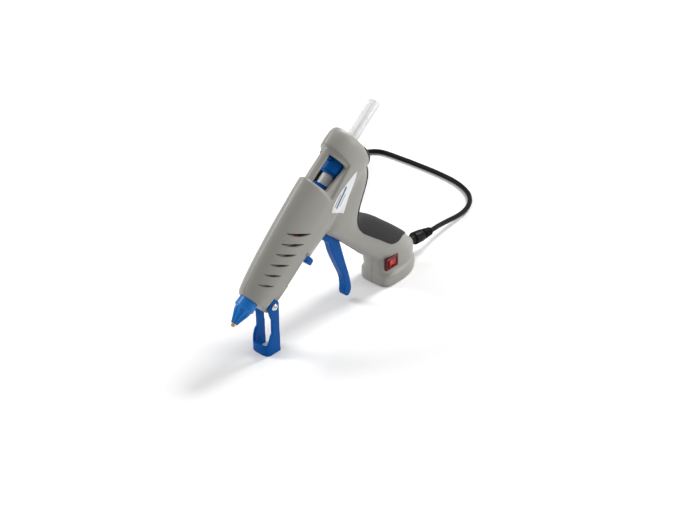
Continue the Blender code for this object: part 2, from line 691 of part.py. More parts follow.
def stand():
    """Fold-out stand: two arms on the keel's sides joined by a hoop foot that bulges forward."""
    x, _, z = barrel_point(STAND_PIVOT_ALONG, STAND_PIVOT_DOWN)
    half, thick = STAND_HALF_WIDTH, 2.6
    front, back, bulge = x - 2.4, x + 6.0, 8.4

    def arm(side):
        y_low, y_high = sorted((side * (half - thick), side * half))
        outline = [(x + 6.2 * math.cos(a), z + 6.2 * math.sin(a)) for a in
                   (math.pi * k / 8 for k in range(0, 9))]
        outline += [(x - 5.4, z - 6.0), (front, z - 15.0), (front, 0.0), (back + 0.8, 0.0), (back + 0.8, 3.6),
                    (back, 4.4), (back, z - 14.0)]
        return lambda bm: outline_prism(bm, outline, y_low, y_high)

    def hoop(bm):
        rings = []
        steps = 16
        for k in range(steps + 1):
            angle = math.pi * k / steps
            c, s = math.cos(angle), math.sin(angle)
            height = 9.6 + 13.0 * max(0.0, 1.0 - s / 0.75)
            reach, side = s ** 0.55, -math.copysign(abs(c) ** 0.62, c)
            outer = (front + 0.4 - bulge * reach, half * side)
            inner = (front + 0.4 - (bulge - thick) * reach, (half - thick) * side)
            rings.append([(*outer, 0.0), (*outer, height), (*inner, height), (*inner, 0.0)])
        loft(bm, rings)

    item = fused("stand", (arm(-1), hoop, arm(1)))
    cut(item, lambda bm: cylinder(bm, (x, -20, z), (x, 20, z), 2.0, sides=16))
    finish(item, material("stand", BLUE, 0.4), (x, 0, z))

    mat = material("stand_screw", STEEL, 0.25, 1.0)
    for name, side in (("stand_screw_left", -1), ("stand_screw_right", 1)):
        rings = []
        for y, radius in ((2.6, 1.6), (half + GAP, 1.6), (half + GAP, 3.4), (half + 1.4, 3.2), (half + 2.1, 2.0)):
            rings.append([(x + radius * math.cos(k * math.pi / 8), side * y, z + radius * math.sin(k * math.pi / 8))
                          for k in range(16)])
        bm = bmesh.new()
        loft(bm, rings)
        finish(add_object(name, bm), mat, (x, side * half, z))


def stand_catch():
    """Sprung catch under the barrel that holds the folded stand's foot."""
    bm = bmesh.new()
    outline = ((57.6, -39.0), (59.4, -42.0), (62.6, -40.5), (63.6, -34.0), (63.6, -24.6), (59.8, -24.6), (59.8, -37.0))
    outline_prism(bm, outline, -3.4, 3.4)
    finish(add_object("stand_catch", bm, BARREL), material("stand_catch", BLUE, 0.4))


def switch():
    """Illuminated rocker in a snap-in body, low on the left side of the handle base."""
    x, z, face = SWITCH_X, SWITCH_Z, SWITCH_FACE_Y
    item = fused("switch_body", (
        lambda bm: box(bm, (x - 8.4, face, z - 6.2), (x + 8.4, face + 3.2, z + 6.2)),
        lambda bm: box(bm, (x - 6.6, face + 3.0, z - 4.4), (x + 6.6, face + 11.0, z + 4.4))))
    cut(item, lambda bm: box(bm, (x - 6.0, face - 5.0, z - 3.9), (x + 6.0, face + 8.5, z + 3.9)))
    finish(item, material("switch_body", (0.20, 0.012, 0.012), 0.4))

    bm = bmesh.new()
    tilt = math.radians(8.0)
    outline = ((-5.3, -1.9), (-2.6, -0.9), (0.0, -0.6), (2.6, -0.9), (5.3, -1.9), (5.0, 2.4), (0.0, 4.6), (-5.0, 2.4))
    pivot_y = face + 1.6
    turned_outline = [(x + u * math.cos(tilt) - v * math.sin(tilt), pivot_y + u * math.sin(tilt) + v * math.cos(tilt))
                      for u, v in outline]
    loft(bm, [[(px, py, height) for px, py in turned_outline] for height in (z - 3.6, z + 3.6)])
    finish(add_object("switch_rocker", bm), material("switch_rocker", (0.62, 0.02, 0.02), 0.25), (x, pivot_y + 1.0, z))


def strain_relief():
    """Moulded boot: a neck held in the shells, a collar outside and a ribbed tail."""
    holder = bpy.data.objects.new("relief_axis", None)
    PARTS.objects.link(holder)
    start, end = Vector(RELIEF_START), Vector(RELIEF_END)
    holder.location = (start.x * MM, 0, start.y * MM)
    holder.rotation_euler = (0, math.atan2(start.y - end.y, end.x - start.x), 0)
    length = (end - start).length
    profile = [(0.0, CORD_RADIUS + 0.4), (0.0, 5.3), (2.2, 5.3), (2.2, 4.5), (14.5, 4.5), (15.5, 6.2), (27.0, 6.0),
               (28.5, 5.2)]
    for rib in range(5):
        along = 29.0 + rib * 2.5
        radius = 5.2 - rib * 0.3
        profile += [(along, radius - 1.1), (along + 0.9, radius - 1.1), (along + 1.1, radius), (along + 2.2, radius)]
    profile += [(length, 3.4), (length, CORD_RADIUS + 0.4)]
    turned("strain_relief", profile, material("strain_relief", BLACK, 0.6), 14, holder)


# ---------------------------------------------------------------- wiring and cord

def smooth_route(points, spacing):
    """Evenly spaced points along a smooth curve through the given points."""
    points = [Vector(p) for p in points]
    ends = [points[0] * 2 - points[1]] + points + [points[-1] * 2 - points[-2]]
    dense = []
    for p0, p1, p2, p3 in zip(ends, ends[1:], ends[2:], ends[3:]):
        for step in range(24):
            t = step / 24
            dense.append(0.5 * ((2 * p1) + (p2 - p0) * t + (2 * p0 - 5 * p1 + 4 * p2 - p3) * t * t
                                + (3 * p1 - p0 - 3 * p2 + p3) * t ** 3))
    dense.append(points[-1])
    lengths = [0.0]
    for before, after in zip(dense, dense[1:]):
        lengths.append(lengths[-1] + (after - before).length)
    count = max(3, round(lengths[-1] / spacing) + 1)
    route, index = [], 0
    for k in range(count):
        target = lengths[-1] * k / (count - 1)
        while index < len(dense) - 2 and lengths[index + 1] < target:
            index += 1
        span = max(lengths[index + 1] - lengths[index], 1e-9)
        route.append(dense[index].lerp(dense[index + 1], (target - lengths[index]) / span))
    return route


def tube(name, points, radius, mat, spacing, resolution=2):
    curve = bpy.data.curves.new(name, "CURVE")
    curve.dimensions = "3D"
    curve.bevel_depth = radius * MM
    curve.bevel_resolution = resolution
    curve.use_fill_caps = True
    route = smooth_route(points, spacing)
    spline = curve.splines.new("POLY")
    spline.points.add(len(route) - 1)
    for point, place in zip(spline.points, route):
        point.co = (*(place * MM), 1.0)
    item = bpy.data.objects.new(name, curve)
    PARTS.objects.link(item)
    curve.materials.append(mat)
    return item


def hank_point(along, across, height):
    c, s = math.cos(HANK_ANGLE), math.sin(HANK_ANGLE)
    return (HANK_CENTRE[0] + along * c + across * s, HANK_CENTRE[1] + along * s - across * c, height)


def cord_set():
    """Mains cord from the strain relief, round behind the gun into a tied hank, and on to the plug."""
    black = material("cord", BLACK, 0.55)
    f = BASE_FRONT_X
    end = RELIEF_END
    start = relief_point((Vector(RELIEF_END) - Vector(RELIEF_START)).length + GAP)
    reach = HANK_LENGTH / 2 - HANK_WIDTH / 2 + math.sqrt((HANK_WIDTH / 2) ** 2 - HANK_LANE ** 2)
    entry = hank_point(reach + 4.6, HANK_LANE, 6.0)
    leave = hank_point(-reach - 4.6, -HANK_LANE, 6.0)
    tube("cord", (start, (end[0] + 8.0, 1.2, 16.8), (f + 108.0, 4.4, 13.6), (f + 128.0, 8.0, 9.0),
                  (f + 142.0, 9.8, 6.2), (f + 156.0, 12.2, 4.0), (f + 170.0, 16.2, 3.0), (f + 183.0, 23.0, 2.8),
                  (f + 195.5, 37.0, 2.8), (f + 203.5, 59.0, 2.8), (f + 206.0, 84.0, 2.8), (f + 206.0, 110.0, 2.8),
                  (f + 205.0, 134.0, 2.8), (f + 203.7, 152.3, 2.9), (f + 200.9, 162.8, 3.2), (f + 193.2, 170.5, 3.8),
                  (f + 182.7, 173.3, 4.8), entry), CORD_RADIUS, black, 7.0)

    bm = bmesh.new()
    ring = []
    straight = HANK_LENGTH / 2 - HANK_WIDTH / 2
    for step in range(28):
        angle = 2 * math.pi * (step + 0.5) / 28
        shift = straight if math.cos(angle) > 0 else -straight
        ring.append((shift + HANK_WIDTH / 2 * math.cos(angle), HANK_WIDTH / 2 * math.sin(angle)))
    loft(bm, [[hank_point(u, v, height) for u, v in ring] for height in (0.3, HANK_HEIGHT)])
    hank = add_object("cord_hank", bm)
    cut(hank, lambda bm: tie_block(bm, 0.0))
    finish(hank, black)
    bm = bmesh.new()
    tie_block(bm, GAP)
    tie = add_object("hank_tie", bm)
    finish(tie, material("hank_tie", BLACK, 0.5))

    tail = hank_point(-reach - 24.0, -HANK_LANE, 8.0)
    tube("cord_tail", (leave, hank_point(-reach - 14.0, -HANK_LANE, 7.0), tail), CORD_RADIUS, black, 5.0)
    plug(tail)


def tie_block(bm, shrink):
    """The tie that binds the hank: a strap across its top, let into the hank."""
    low, high = -4.0 + shrink, 4.0 - shrink
    top = HANK_HEIGHT + (2.0 if shrink == 0.0 else 0.8)
    wide = HANK_WIDTH / 2 + (4.0 if shrink == 0.0 else 0.9)
    floor = HANK_HEIGHT - 2.2 + shrink
    outline = ((-wide, floor), (wide, floor), (wide, top), (-wide, top))
    loft(bm, [[hank_point(along, v, height) for v, height in outline] for along in (low, high)])


def plug(tail):
    """Moulded two-pin plug at the cord's end."""
    holder = bpy.data.objects.new("plug_axis", None)
    PARTS.objects.link(holder)
    holder.location = Vector(tail) * MM
    holder.rotation_euler = (0, 0, HANK_ANGLE + math.pi)
    rings = []
    for along, half_width, half_height in ((GAP, 3.2, 3.2), (9.0, 4.4, 4.2), (11.0, 7.4, 6.0), (16.0, 9.4, 7.2),
                                           (31.0, 9.8, 7.4), (34.0, 9.0, 6.6)):
        ring = []
        for step in range(20):
            angle = 2 * math.pi * (step + 0.5) / 20
            c, s = math.cos(angle), math.sin(angle)
            ring.append((along, math.copysign(half_width * abs(c) ** 0.7, c),
                         math.copysign(half_height * abs(s) ** 0.7, s)))
        rings.append(ring)
    bm = bmesh.new()
    loft(bm, rings)
    body = add_object("plug_body", bm, holder)
    cut(body, lambda bm: [box(bm, (26.0, side * 6.35 - 1.1, -3.5), (40.0, side * 6.35 + 1.1, 3.5))
                          for side in (-1, 1)], holder)
    finish(body, material("plug_body", BLACK, 0.5))
    for name, side in (("plug_blade_left", 1), ("plug_blade_right", -1)):
        bm = bmesh.new()
        box(bm, (26.3, side * 6.35 - 0.75, -3.1), (51.0, side * 6.35 + 0.75, 3.1))
        finish(add_object(name, bm, holder), material(name, BRASS, 0.3, 1.0))


def inside_wiring():
    """The cord's inner end and its two leads, one by way of the switch, up the handle to the heater."""
    f = BASE_FRONT_X
    length = (Vector(RELIEF_END) - Vector(RELIEF_START)).length
    tube("cord_inner", (relief_point(length - 1.0), relief_point(length / 2), relief_point(-13.0)),
         CORD_RADIUS, material("cord_inner", BLACK, 0.55), 9.0)
    root = relief_point(-13.6)
    top = barrel_point(44.0, -17.2)

    def route(side):
        return ((f - 13.0, 7.2 * side, 63.0), (f - 34.0, 7.6 * side, 79.0), (f - 58.0, 9.0 * side, 100.0),
                barrel_point(92.0, -17.0, 9.2 * side), barrel_point(80.0, -14.0, 8.6 * side),
                barrel_point(62.0, -15.8, 3.6 * side), (top[0], 3.0 * side, top[2]))

    tube("lead_neutral", ((root[0], 1.2, root[2]), (f + 24.0, 3.5, 31.0), (f + 6.0, 6.4, 42.0), *route(1)),
         0.9, material("lead_neutral", (0.55, 0.55, 0.56), 0.5), 7.0, 0)
    tube("lead_live", ((f + 12.0, -5.2, 27.0), (f + 7.0, -5.2, 34.0), (f - 2.0, -6.6, 49.0), *route(-1)),
         0.9, material("lead_live", (0.30, 0.02, 0.02), 0.5), 7.0, 0)
    tube("lead_switch", ((root[0], -1.2, root[2]), (f + 26.0, -3.6, 27.5), (f + 16.0, -5.2, 26.0)),
         0.9, material("lead_switch", (0.30, 0.02, 0.02), 0.5), 7.0, 0)


def cord_clamp():
    """Bar that presses the cord's inner end against the left shell, held by two screws."""
    bm = bmesh.new()
    (x, low), (_, high) = CLAMP_POINTS
    box(bm, (x - 2.4, CORD_RADIUS + GAP, low - 2.3), (x + 2.4, CORD_RADIUS + GAP + 2.0, high + 2.3))
    bar = add_object("cord_clamp", bm)
    cut(bar, lambda bm: [cylinder(bm, (x, 0.0, z), (x, 10.0, z), 1.3, sides=10) for z in (low, high)])
    finish(bar, material("cord_clamp", (0.35, 0.33, 0.30), 0.6))
    under = CORD_RADIUS + GAP + 2.0 + GAP
    for name, z in (("clamp_screw_lower", low), ("clamp_screw_upper", high)):
        rings = []
        for y, radius in ((-6.0, 1.0), (under, 1.0), (under, 2.1), (under + 1.4, 2.1)):
            rings.append([(x + radius * math.cos(k * math.pi / 5), y, z + radius * math.sin(k * math.pi / 5))
                          for k in range(10)])
        bm = bmesh.new()
        loft(bm, rings)
        finish(add_object(name, bm), material(name, STEEL, 0.3, 1.0))


# ---------------------------------------------------------------- build

clear_scene()
PARTS = new_collection("glue_gun")
CUTTERS = new_collection("cutters")
BARREL = bpy.data.objects.new("barrel_axis", None)
PARTS.objects.link(BARREL)
BARREL.location = (BARREL_ROOT_X * MM, 0, BARREL_ROOT_Z * MM)
BARREL.rotation_euler = (0, -BARREL_TILT, 0)
bpy.context.view_layer.update()

shells()
shell_screws()
soft_grip()
rating_label()
nozzle_sleeve()
nozzle_tip()
check_valve()
melt_chamber()
heater()
guides()
feed_carriage()
grip_lever()
glue_stick()
trigger()
stand()
stand_catch()
switch()
strain_relief()
cord_clamp()
inside_wiring()
cord_set()
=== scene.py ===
"""Looks for the hot-melt glue gun: finer housing, grip, stand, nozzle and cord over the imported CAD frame."""
import math

import bmesh
import bpy
from mathutils import Matrix, Vector


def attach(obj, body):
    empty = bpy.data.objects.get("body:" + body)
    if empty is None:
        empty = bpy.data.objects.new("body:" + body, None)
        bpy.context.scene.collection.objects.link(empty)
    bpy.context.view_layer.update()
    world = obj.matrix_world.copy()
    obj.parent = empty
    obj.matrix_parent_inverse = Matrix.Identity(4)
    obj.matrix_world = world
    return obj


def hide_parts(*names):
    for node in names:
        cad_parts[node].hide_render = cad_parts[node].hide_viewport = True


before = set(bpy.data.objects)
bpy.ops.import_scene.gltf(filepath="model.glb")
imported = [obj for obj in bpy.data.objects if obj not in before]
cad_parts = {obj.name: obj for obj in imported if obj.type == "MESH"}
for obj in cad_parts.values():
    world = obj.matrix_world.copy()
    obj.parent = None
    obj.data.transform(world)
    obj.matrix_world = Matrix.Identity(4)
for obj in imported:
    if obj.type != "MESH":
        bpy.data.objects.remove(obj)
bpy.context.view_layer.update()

# Lengths are in millimetres unless a comment says metres; MM turns them into metres.
MM = 0.001
BASE_FRONT_X = 47.93                       # world X of the handle base's front, as in the CAD
BARREL_ROOT_X = -161.6 + BASE_FRONT_X
BARREL_ROOT_Z = 62.7
TILT = math.radians(38.0)                  # the barrel's rise toward the rear
TRIGGER_PIVOT_X, TRIGGER_PIVOT_Z = -64.5 + BASE_FRONT_X, 93.0
STAND_PIVOT = (7.0, -22.0)                 # along and up from the barrel's root
SWITCH_X, SWITCH_Z = 9.8 + BASE_FRONT_X, 25.5
BOOT_START = (BASE_FRONT_X + 47.0, 22.5)   # world X and Z where the cord's boot begins, inside the base
BOOT_END = (BASE_FRONT_X + 88.5, 18.0)
SEAM_GAP = 0.14                            # half the gap between the two shells
WALL = 2.4
PAST_SIDE = 30.0                           # distance from the middle plane that is clear of the gun
CORD_RADIUS = 2.5


def new_collection(name):
    collection = bpy.data.collections.new(name)
    bpy.context.scene.collection.children.link(collection)
    return collection


PIECES = new_collection("visual")
SCRATCH = new_collection("scratch")


# ---------------------------------------------------------------- camera and light

CAMERA_BACK = (-0.6317, -0.5588, 0.5373)   # direction from the gun to the camera
CAMERA_RIGHT = (0.6626, -0.7490, 0.0)
CAMERA_DISTANCE = 1428.6
CAMERA_LEFT, CAMERA_UP = 20.5, 19.5        # the camera's shift in its own plane
LENS, SENSOR = 77.14, 36.0
CLIP_END = 50.0                            # metres

WORLD_STRENGTH = 0.50
LIGHT_TARGET = (0.0, 0.0, 0.08)            # metres
LIGHTS = (                                 # name, place and diameter in metres, power in watts
    ("key", (1.0, -0.1, 1.15), 0.45, 19.0),
    ("side", (0.85, -1.2, 0.45), 0.6, 7.0),
    ("back_left", (-0.6, 1.15, 1.05), 0.7, 15.0),
)
FLOOR_REACH = 4.0                          # metres from the floor's middle to its edge
FLOOR_COLOUR = (0.83, 0.83, 0.83, 1.0)


def look_from_photo():
    """The camera, at the photograph's angle."""
    back = Vector(CAMERA_BACK).normalized()
    right = Vector(CAMERA_RIGHT).normalized()
    up = back.cross(right)
    data = bpy.data.cameras.new("camera")
    data.sensor_width = SENSOR
    data.lens = LENS
    data.clip_end = CLIP_END
    camera = bpy.data.objects.new("camera", data)
    place = Vector((BASE_FRONT_X, 0.0, 0.0)) + back * CAMERA_DISTANCE - right * CAMERA_LEFT + up * CAMERA_UP
    turn = Matrix((right, up, back)).transposed().to_4x4()
    camera.matrix_world = Matrix.Translation(place * MM) @ turn
    SCRATCH.objects.link(camera)
    bpy.context.scene.camera = camera


def area_light(name, place, size, power):
    data = bpy.data.lights.new(name, "AREA")
    data.shape = "DISK"
    data.size = size
    data.energy = power
    light = bpy.data.objects.new(name, data)
    light.location = place
    light.rotation_euler = (Vector(LIGHT_TARGET) - Vector(place)).to_track_quat("-Z", "Y").to_euler()
    SCRATCH.objects.link(light)


def studio():
    world = bpy.data.worlds.new("studio")
    bpy.context.scene.world = world
    world.use_nodes = True
    shade = world.node_tree.nodes["Background"]
    shade.inputs["Color"].default_value = (1.0, 1.0, 1.0, 1.0)
    shade.inputs["Strength"].default_value = WORLD_STRENGTH
    bpy.context.scene.view_settings.view_transform = "Standard"
    for light in LIGHTS:
        area_light(*light)

    bm = bmesh.new()
    bmesh.ops.create_grid(bm, x_segments=8, y_segments=8, size=FLOOR_REACH)
    mesh = bpy.data.meshes.new("floor")
    bm.to_mesh(mesh)
    bm.free()
    floor = bpy.data.objects.new("floor", mesh)
    SCRATCH.objects.link(floor)
    mat = bpy.data.materials.new("floor_pale")
    mat.use_nodes = True
    shader = mat.node_tree.nodes["Principled BSDF"]
    shader.inputs["Base Color"].default_value = FLOOR_COLOUR
    shader.inputs["Roughness"].default_value = 0.10
    shader.inputs["Specular IOR Level"].default_value = 0.45
    mesh.materials.append(mat)


# ---------------------------------------------------------------- materials

GRAIN_HEIGHT = 0.0004                      # metres


def link(tree, source, output, target, socket):
    tree.links.new(source.outputs[output], target.inputs[socket])


def surface(name, colour, roughness, spots=0.06, spot_scale=60.0, grain=0.15, grain_scale=1500.0,
            metallic=0.0, rough_spread=0.08, **sockets):
    """Moulded surface: soft colour drift, uneven gloss and a fine grain, all from object coordinates."""
    mat = bpy.data.materials.new(name)
    mat.use_nodes = True
    tree = mat.node_tree
    shader = tree.nodes["Principled BSDF"]
    shader.inputs["Metallic"].default_value = metallic
    for socket, value in sockets.items():
        shader.inputs[socket.replace("_", " ")].default_value = value
    where = tree.nodes.new("ShaderNodeTexCoord")
    drift = tree.nodes.new("ShaderNodeTexNoise")
    drift.inputs["Scale"].default_value = spot_scale
    drift.inputs["Detail"].default_value = 5.0
    link(tree, where, "Object", drift, "Vector")
    ramp = tree.nodes.new("ShaderNodeValToRGB")
    ramp.color_ramp.elements[0].position = 0.3
    ramp.color_ramp.elements[1].position = 0.7
    ramp.color_ramp.elements[0].color = (*[c * (1.0 - spots) for c in colour], 1.0)
    ramp.color_ramp.elements[1].color = (*[min(c * (1.0 + spots), 1.0) for c in colour], 1.0)
    link(tree, drift, "Fac", ramp, "Fac")
    link(tree, ramp, "Color", shader, "Base Color")
    gloss = tree.nodes.new("ShaderNodeMapRange")
    gloss.inputs["To Min"].default_value = max(roughness - rough_spread, 0.02)
    gloss.inputs["To Max"].default_value = min(roughness + rough_spread, 1.0)
    link(tree, drift, "Fac", gloss, "Value")
    link(tree, gloss, "Result", shader, "Roughness")
    fine = tree.nodes.new("ShaderNodeTexNoise")
    fine.inputs["Scale"].default_value = grain_scale
    fine.inputs["Detail"].default_value = 3.0
    link(tree, where, "Object", fine, "Vector")
    bump = tree.nodes.new("ShaderNodeBump")
    bump.inputs["Strength"].default_value = grain
    bump.inputs["Distance"].default_value = GRAIN_HEIGHT
    link(tree, fine, "Fac", bump, "Height")
    link(tree, bump, "Normal", shader, "Normal")
    return mat


def brushed(name, colour, roughness):
    """Drawn or turned metal: streaks that run along X."""
    mat = surface(name, colour, roughness, spots=0.10, spot_scale=200.0, grain=0.05, grain_scale=1200.0, metallic=1.0)
    tree = mat.node_tree
    stretch = tree.nodes.new("ShaderNodeMapping")
    stretch.inputs["Scale"].default_value = (30.0, 900.0, 900.0)
    where = tree.nodes["Texture Coordinate"]
    link(tree, where, "Object", stretch, "Vector")
    fine = tree.nodes["Noise Texture.001"]
    fine.inputs["Scale"].default_value = 3.0
    link(tree, stretch, "Vector", fine, "Vector")
    return mat


GREY = surface("housing_grey", (0.285, 0.274, 0.250), 0.42, spots=0.035, spot_scale=25.0, grain=0.22,
               grain_scale=1800.0, Coat_Weight=0.08, Coat_Roughness=0.35)
BLUE = surface("moulded_blue", (0.0008, 0.080, 0.315), 0.33, spots=0.06, spot_scale=40.0, grain=0.10,
               grain_scale=1500.0, Coat_Weight=0.02, Specular_IOR_Level=0.06, Coat_Roughness=0.2)
SILICONE = surface("silicone_blue", (0.004, 0.150, 0.50), 0.30, spots=0.06, spot_scale=60.0, grain=0.12,
                   grain_scale=1200.0, Coat_Weight=0.06, Specular_IOR_Level=0.2, Coat_Roughness=0.25)
RUBBER = surface("soft_rubber", (0.014, 0.014, 0.015), 0.60, spots=0.10, spot_scale=40.0, grain=0.35,
                 grain_scale=1400.0, Specular_IOR_Level=0.24)
CORD = surface("cord_sheath", (0.005, 0.005, 0.005), 0.42, spots=0.12, spot_scale=90.0, grain=0.20,
               grain_scale=900.0, Specular_IOR_Level=0.09)
BLACK = surface("moulded_black", (0.004, 0.004, 0.004), 0.40, spots=0.10, spot_scale=60.0, grain=0.25,
                grain_scale=1200.0, Specular_IOR_Level=0.1)
WHITE = surface("label_white", (0.70, 0.71, 0.72), 0.28, spots=0.015, spot_scale=40.0, grain=0.03,
                grain_scale=900.0)
INK = surface("label_ink", (0.06, 0.10, 0.22), 0.30, spots=0.05, spot_scale=80.0, grain=0.03, grain_scale=900.0)
STEEL = brushed("bright_steel", (0.62, 0.62, 0.63), 0.26)
BRASS = brushed("turned_brass", (0.68, 0.46, 0.18), 0.28)
CAST = surface("cast_aluminium", (0.55, 0.55, 0.56), 0.50, spots=0.12, spot_scale=150.0, grain=0.5,
               grain_scale=500.0, metallic=1.0)
CERAMIC = surface("ceramic", (0.74, 0.71, 0.64), 0.7, spots=0.06, spot_scale=100.0, grain=0.3,
                  grain_scale=700.0)
RED_DARK = surface("bezel_red", (0.10, 0.006, 0.008), 0.32, spots=0.08, spot_scale=60.0, grain=0.08,
                   grain_scale=1200.0, Specular_IOR_Level=0.15)
RED_LIT = surface("rocker_red", (0.42, 0.012, 0.012), 0.16, spots=0.10, spot_scale=120.0, grain=0.05,
                  grain_scale=1200.0, Coat_Weight=0.12, Specular_IOR_Level=0.3)
INLET = surface("inlet_silicone", (0.40, 0.10, 0.06), 0.6, spots=0.08, spot_scale=60.0, grain=0.2,
                grain_scale=900.0)
GLUE = surface("hot_melt", (0.86, 0.86, 0.86), 0.24, spots=0.02, spot_scale=40.0, grain=0.015,
               grain_scale=300.0, rough_spread=0.04, Transmission_Weight=0.45, IOR=1.38)
WIRE_BLUE = surface("lead_blue", (0.03, 0.09, 0.35), 0.45, spots=0.08, spot_scale=120.0, grain=0.1,
                    grain_scale=900.0)
WIRE_BROWN = surface("lead_brown", (0.14, 0.045, 0.020), 0.45, spots=0.08, spot_scale=120.0, grain=0.1,
                     grain_scale=900.0)


# ---------------------------------------------------------------- mesh helpers, in millimetres

WELD = 0.0005                              # points closer than this become one
ROD_SIDES = 48


def barrel_point(along, up):
    """World point in the middle plane, from distances along the barrel and up from its axis."""
    c, s = math.cos(TILT), math.sin(TILT)
    return (BARREL_ROOT_X + along * c - up * s, 0.0, BARREL_ROOT_Z + along * s + up * c)


def add(name, bm):
    """A bmesh in millimetres becomes an object in metres."""
    bmesh.ops.remove_doubles(bm, verts=bm.verts, dist=WELD)
    bmesh.ops.recalc_face_normals(bm, faces=bm.faces)
    bmesh.ops.scale(bm, vec=(MM, MM, MM), verts=bm.verts)
    mesh = bpy.data.meshes.new(name)
    bm.to_mesh(mesh)
    bm.free()
    item = bpy.data.objects.new(name, mesh)
    SCRATCH.objects.link(item)
    return item


def loft(bm, rings):
    layers = [[bm.verts.new(point) for point in ring] for ring in rings]
    count = len(layers[0])
    for lower, upper in zip(layers, layers[1:]):
        for index in range(count):
            nxt = (index + 1) % count
            bm.faces.new((lower[index], lower[nxt], upper[nxt], upper[index]))
    bm.faces.new(layers[0])
    bm.faces.new(layers[-1])


def prism(bm, outline, y_low, y_high):
    """Outline in world X and Z, between two Y values."""
    loft(bm, [[(x, y, z) for x, z in outline] for y in (y_low, y_high)])


def barrel_prism(bm, outline, y_low, y_high):
    """Outline along and across the barrel, between two Y values."""
    prism(bm, [barrel_point(a, h)[::2] for a, h in outline], y_low, y_high)


def rod(bm, start, end, radius, end_radius=None):
    direction = Vector(end) - Vector(start)
    turn = direction.to_track_quat("Z", "Y").to_matrix().to_4x4()
    bmesh.ops.create_cone(bm, cap_ends=True, segments=ROD_SIDES, radius1=radius,
                          radius2=radius if end_radius is None else end_radius, depth=direction.length,
                          matrix=Matrix.Translation((Vector(start) + Vector(end)) / 2) @ turn)


def barrel_rod(bm, start, end, radius):
    """Round bar on the barrel's axis."""
    rod(bm, barrel_point(start, 0.0), barrel_point(end, 0.0), radius)


def block(bm, low, high):
    made = bmesh.ops.create_cube(bm, size=1.0)
    bmesh.ops.scale(bm, vec=[b - a for a, b in zip(low, high)], verts=made["verts"])
    bmesh.ops.translate(bm, vec=[(a + b) / 2 for a, b in zip(low, high)], verts=made["verts"])


def smooth_line(points, per_span, closed=False):
    """Catmull-Rom points through the given ones."""
    points = [Vector(p) for p in points]
    if closed:
        ends = [points[-1]] + points + points[:2]
    else:
        ends = [points[0] * 2 - points[1]] + points + [points[-1] * 2 - points[-2]]
    line = []
    for p0, p1, p2, p3 in zip(ends, ends[1:], ends[2:], ends[3:]):
        for step in range(per_span):
            t = step / per_span
            line.append(0.5 * ((2 * p1) + (p2 - p0) * t + (2 * p0 - 5 * p1 + 4 * p2 - p3) * t * t
                               + (3 * p1 - p0 - 3 * p2 + p3) * t ** 3))
    if not closed:
        line.append(points[-1])
    return line


def bake(item):
    """The object's modifiers become its mesh."""
    evaluated = item.evaluated_get(bpy.context.evaluated_depsgraph_get())
    mesh = bpy.data.meshes.new_from_object(evaluated)
    item.modifiers.clear()
    item.data = mesh
    return item


def make(builder):
    """A scratch solid from a small function of a bmesh."""
    bm = bmesh.new()
    builder(bm)
    bmesh.ops.triangulate(bm, faces=bm.faces)
    return add("cutter", bm)


def combine(item, other, operation):
    """Boolean of a piece with another object, or with what a small function of a bmesh makes."""
    if not isinstance(other, bpy.types.Object):
        other = make(other)
    step = item.modifiers.new("combine", "BOOLEAN")
    step.object = other
    step.operation = operation
    step.solver = "MANIFOLD"
    bake(item)
    bpy.data.objects.remove(other, do_unlink=True)
    return item


def soften(item, voxel, rounds):
    """Even out the mesh and melt its edges into small radii."""
    step = item.modifiers.new("voxels", "REMESH")
    step.mode = "VOXEL"
    step.voxel_size = voxel * MM
    step = item.modifiers.new("melt", "SMOOTH")
    step.factor = 0.5
    step.iterations = rounds
    return bake(item)


def swell(item, amount):
    """Move every point out along its normal, in millimetres."""
    step = item.modifiers.new("swell", "DISPLACE")
    step.strength = amount * MM
    step.mid_level = 0.0
    return bake(item)


def copy_of(item):
    twin = item.copy()
    twin.data = item.data.copy()
    SCRATCH.objects.link(twin)
    return twin


def show(item, name, mat, body, *nodes, angle=38.0):
    """Name a finished piece, give it its material and its body, and let it stand for its CAD nodes."""
    item.name = item.data.name = name
    for collection in list(item.users_collection):
        collection.objects.unlink(item)
    PIECES.objects.link(item)
    item.data.materials.clear()
    item.data.materials.append(mat)
    item.data.shade_smooth()
    item.data.set_sharp_from_angle(angle=math.radians(angle))
    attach(item, body)
    if nodes:
        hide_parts(*nodes)
    return item


# ---------------------------------------------------------------- housing

# One row for each ring: along the barrel, its reach above and below the axis, half width.
BARREL = (
    (-1.0, 10.6, 24.0, 11.6), (1.5, 12.6, 25.8, 13.2), (6.0, 14.2, 26.8, 14.0), (14.0, 16.2, 27.5, 14.8),
    (32.0, 19.6, 28.3, 15.8), (56.0, 22.8, 28.5, 16.7), (84.0, 25.4, 30.5, 17.3), (108.0, 27.0, 31.0, 17.5),
    (130.0, 27.2, 30.5, 17.5), (146.0, 27.0, 29.6, 17.4), (156.0, 27.0, 28.4, 17.3), (162.0, 26.2, 27.2, 16.9),
    (165.5, 24.4, 25.2, 15.6), (167.0, 21.5, 22.5, 13.6),
)
# One row for each ring: front and rear ends in X from the base's front and Z, half width, squareness of the front.
HANDLE = (
    ((-78.0, 104.0), (-19.5, 146.0), 15.6, 4.5), ((-75.0, 97.5), (-15.5, 134.5), 16.2, 4.4),
    ((-71.5, 90.5), (-20.5, 121.0), 16.2, 4.2), ((-60.5, 81.0), (-28.0, 105.0), 15.6, 3.6),
    ((-47.0, 69.0), (-27.5, 92.0), 14.7, 2.8), ((-31.0, 54.0), (-3.0, 76.5), 15.0, 2.4),
    ((-17.0, 41.0), (12.0, 65.0), 15.8, 2.4), ((-5.0, 31.0), (28.5, 51.8), 16.2, 2.6),
    ((3.0, 24.0), (45.5, 36.2), 16.2, 3.0), ((8.0, 14.0), (51.5, 22.0), 14.5, 3.0),
)
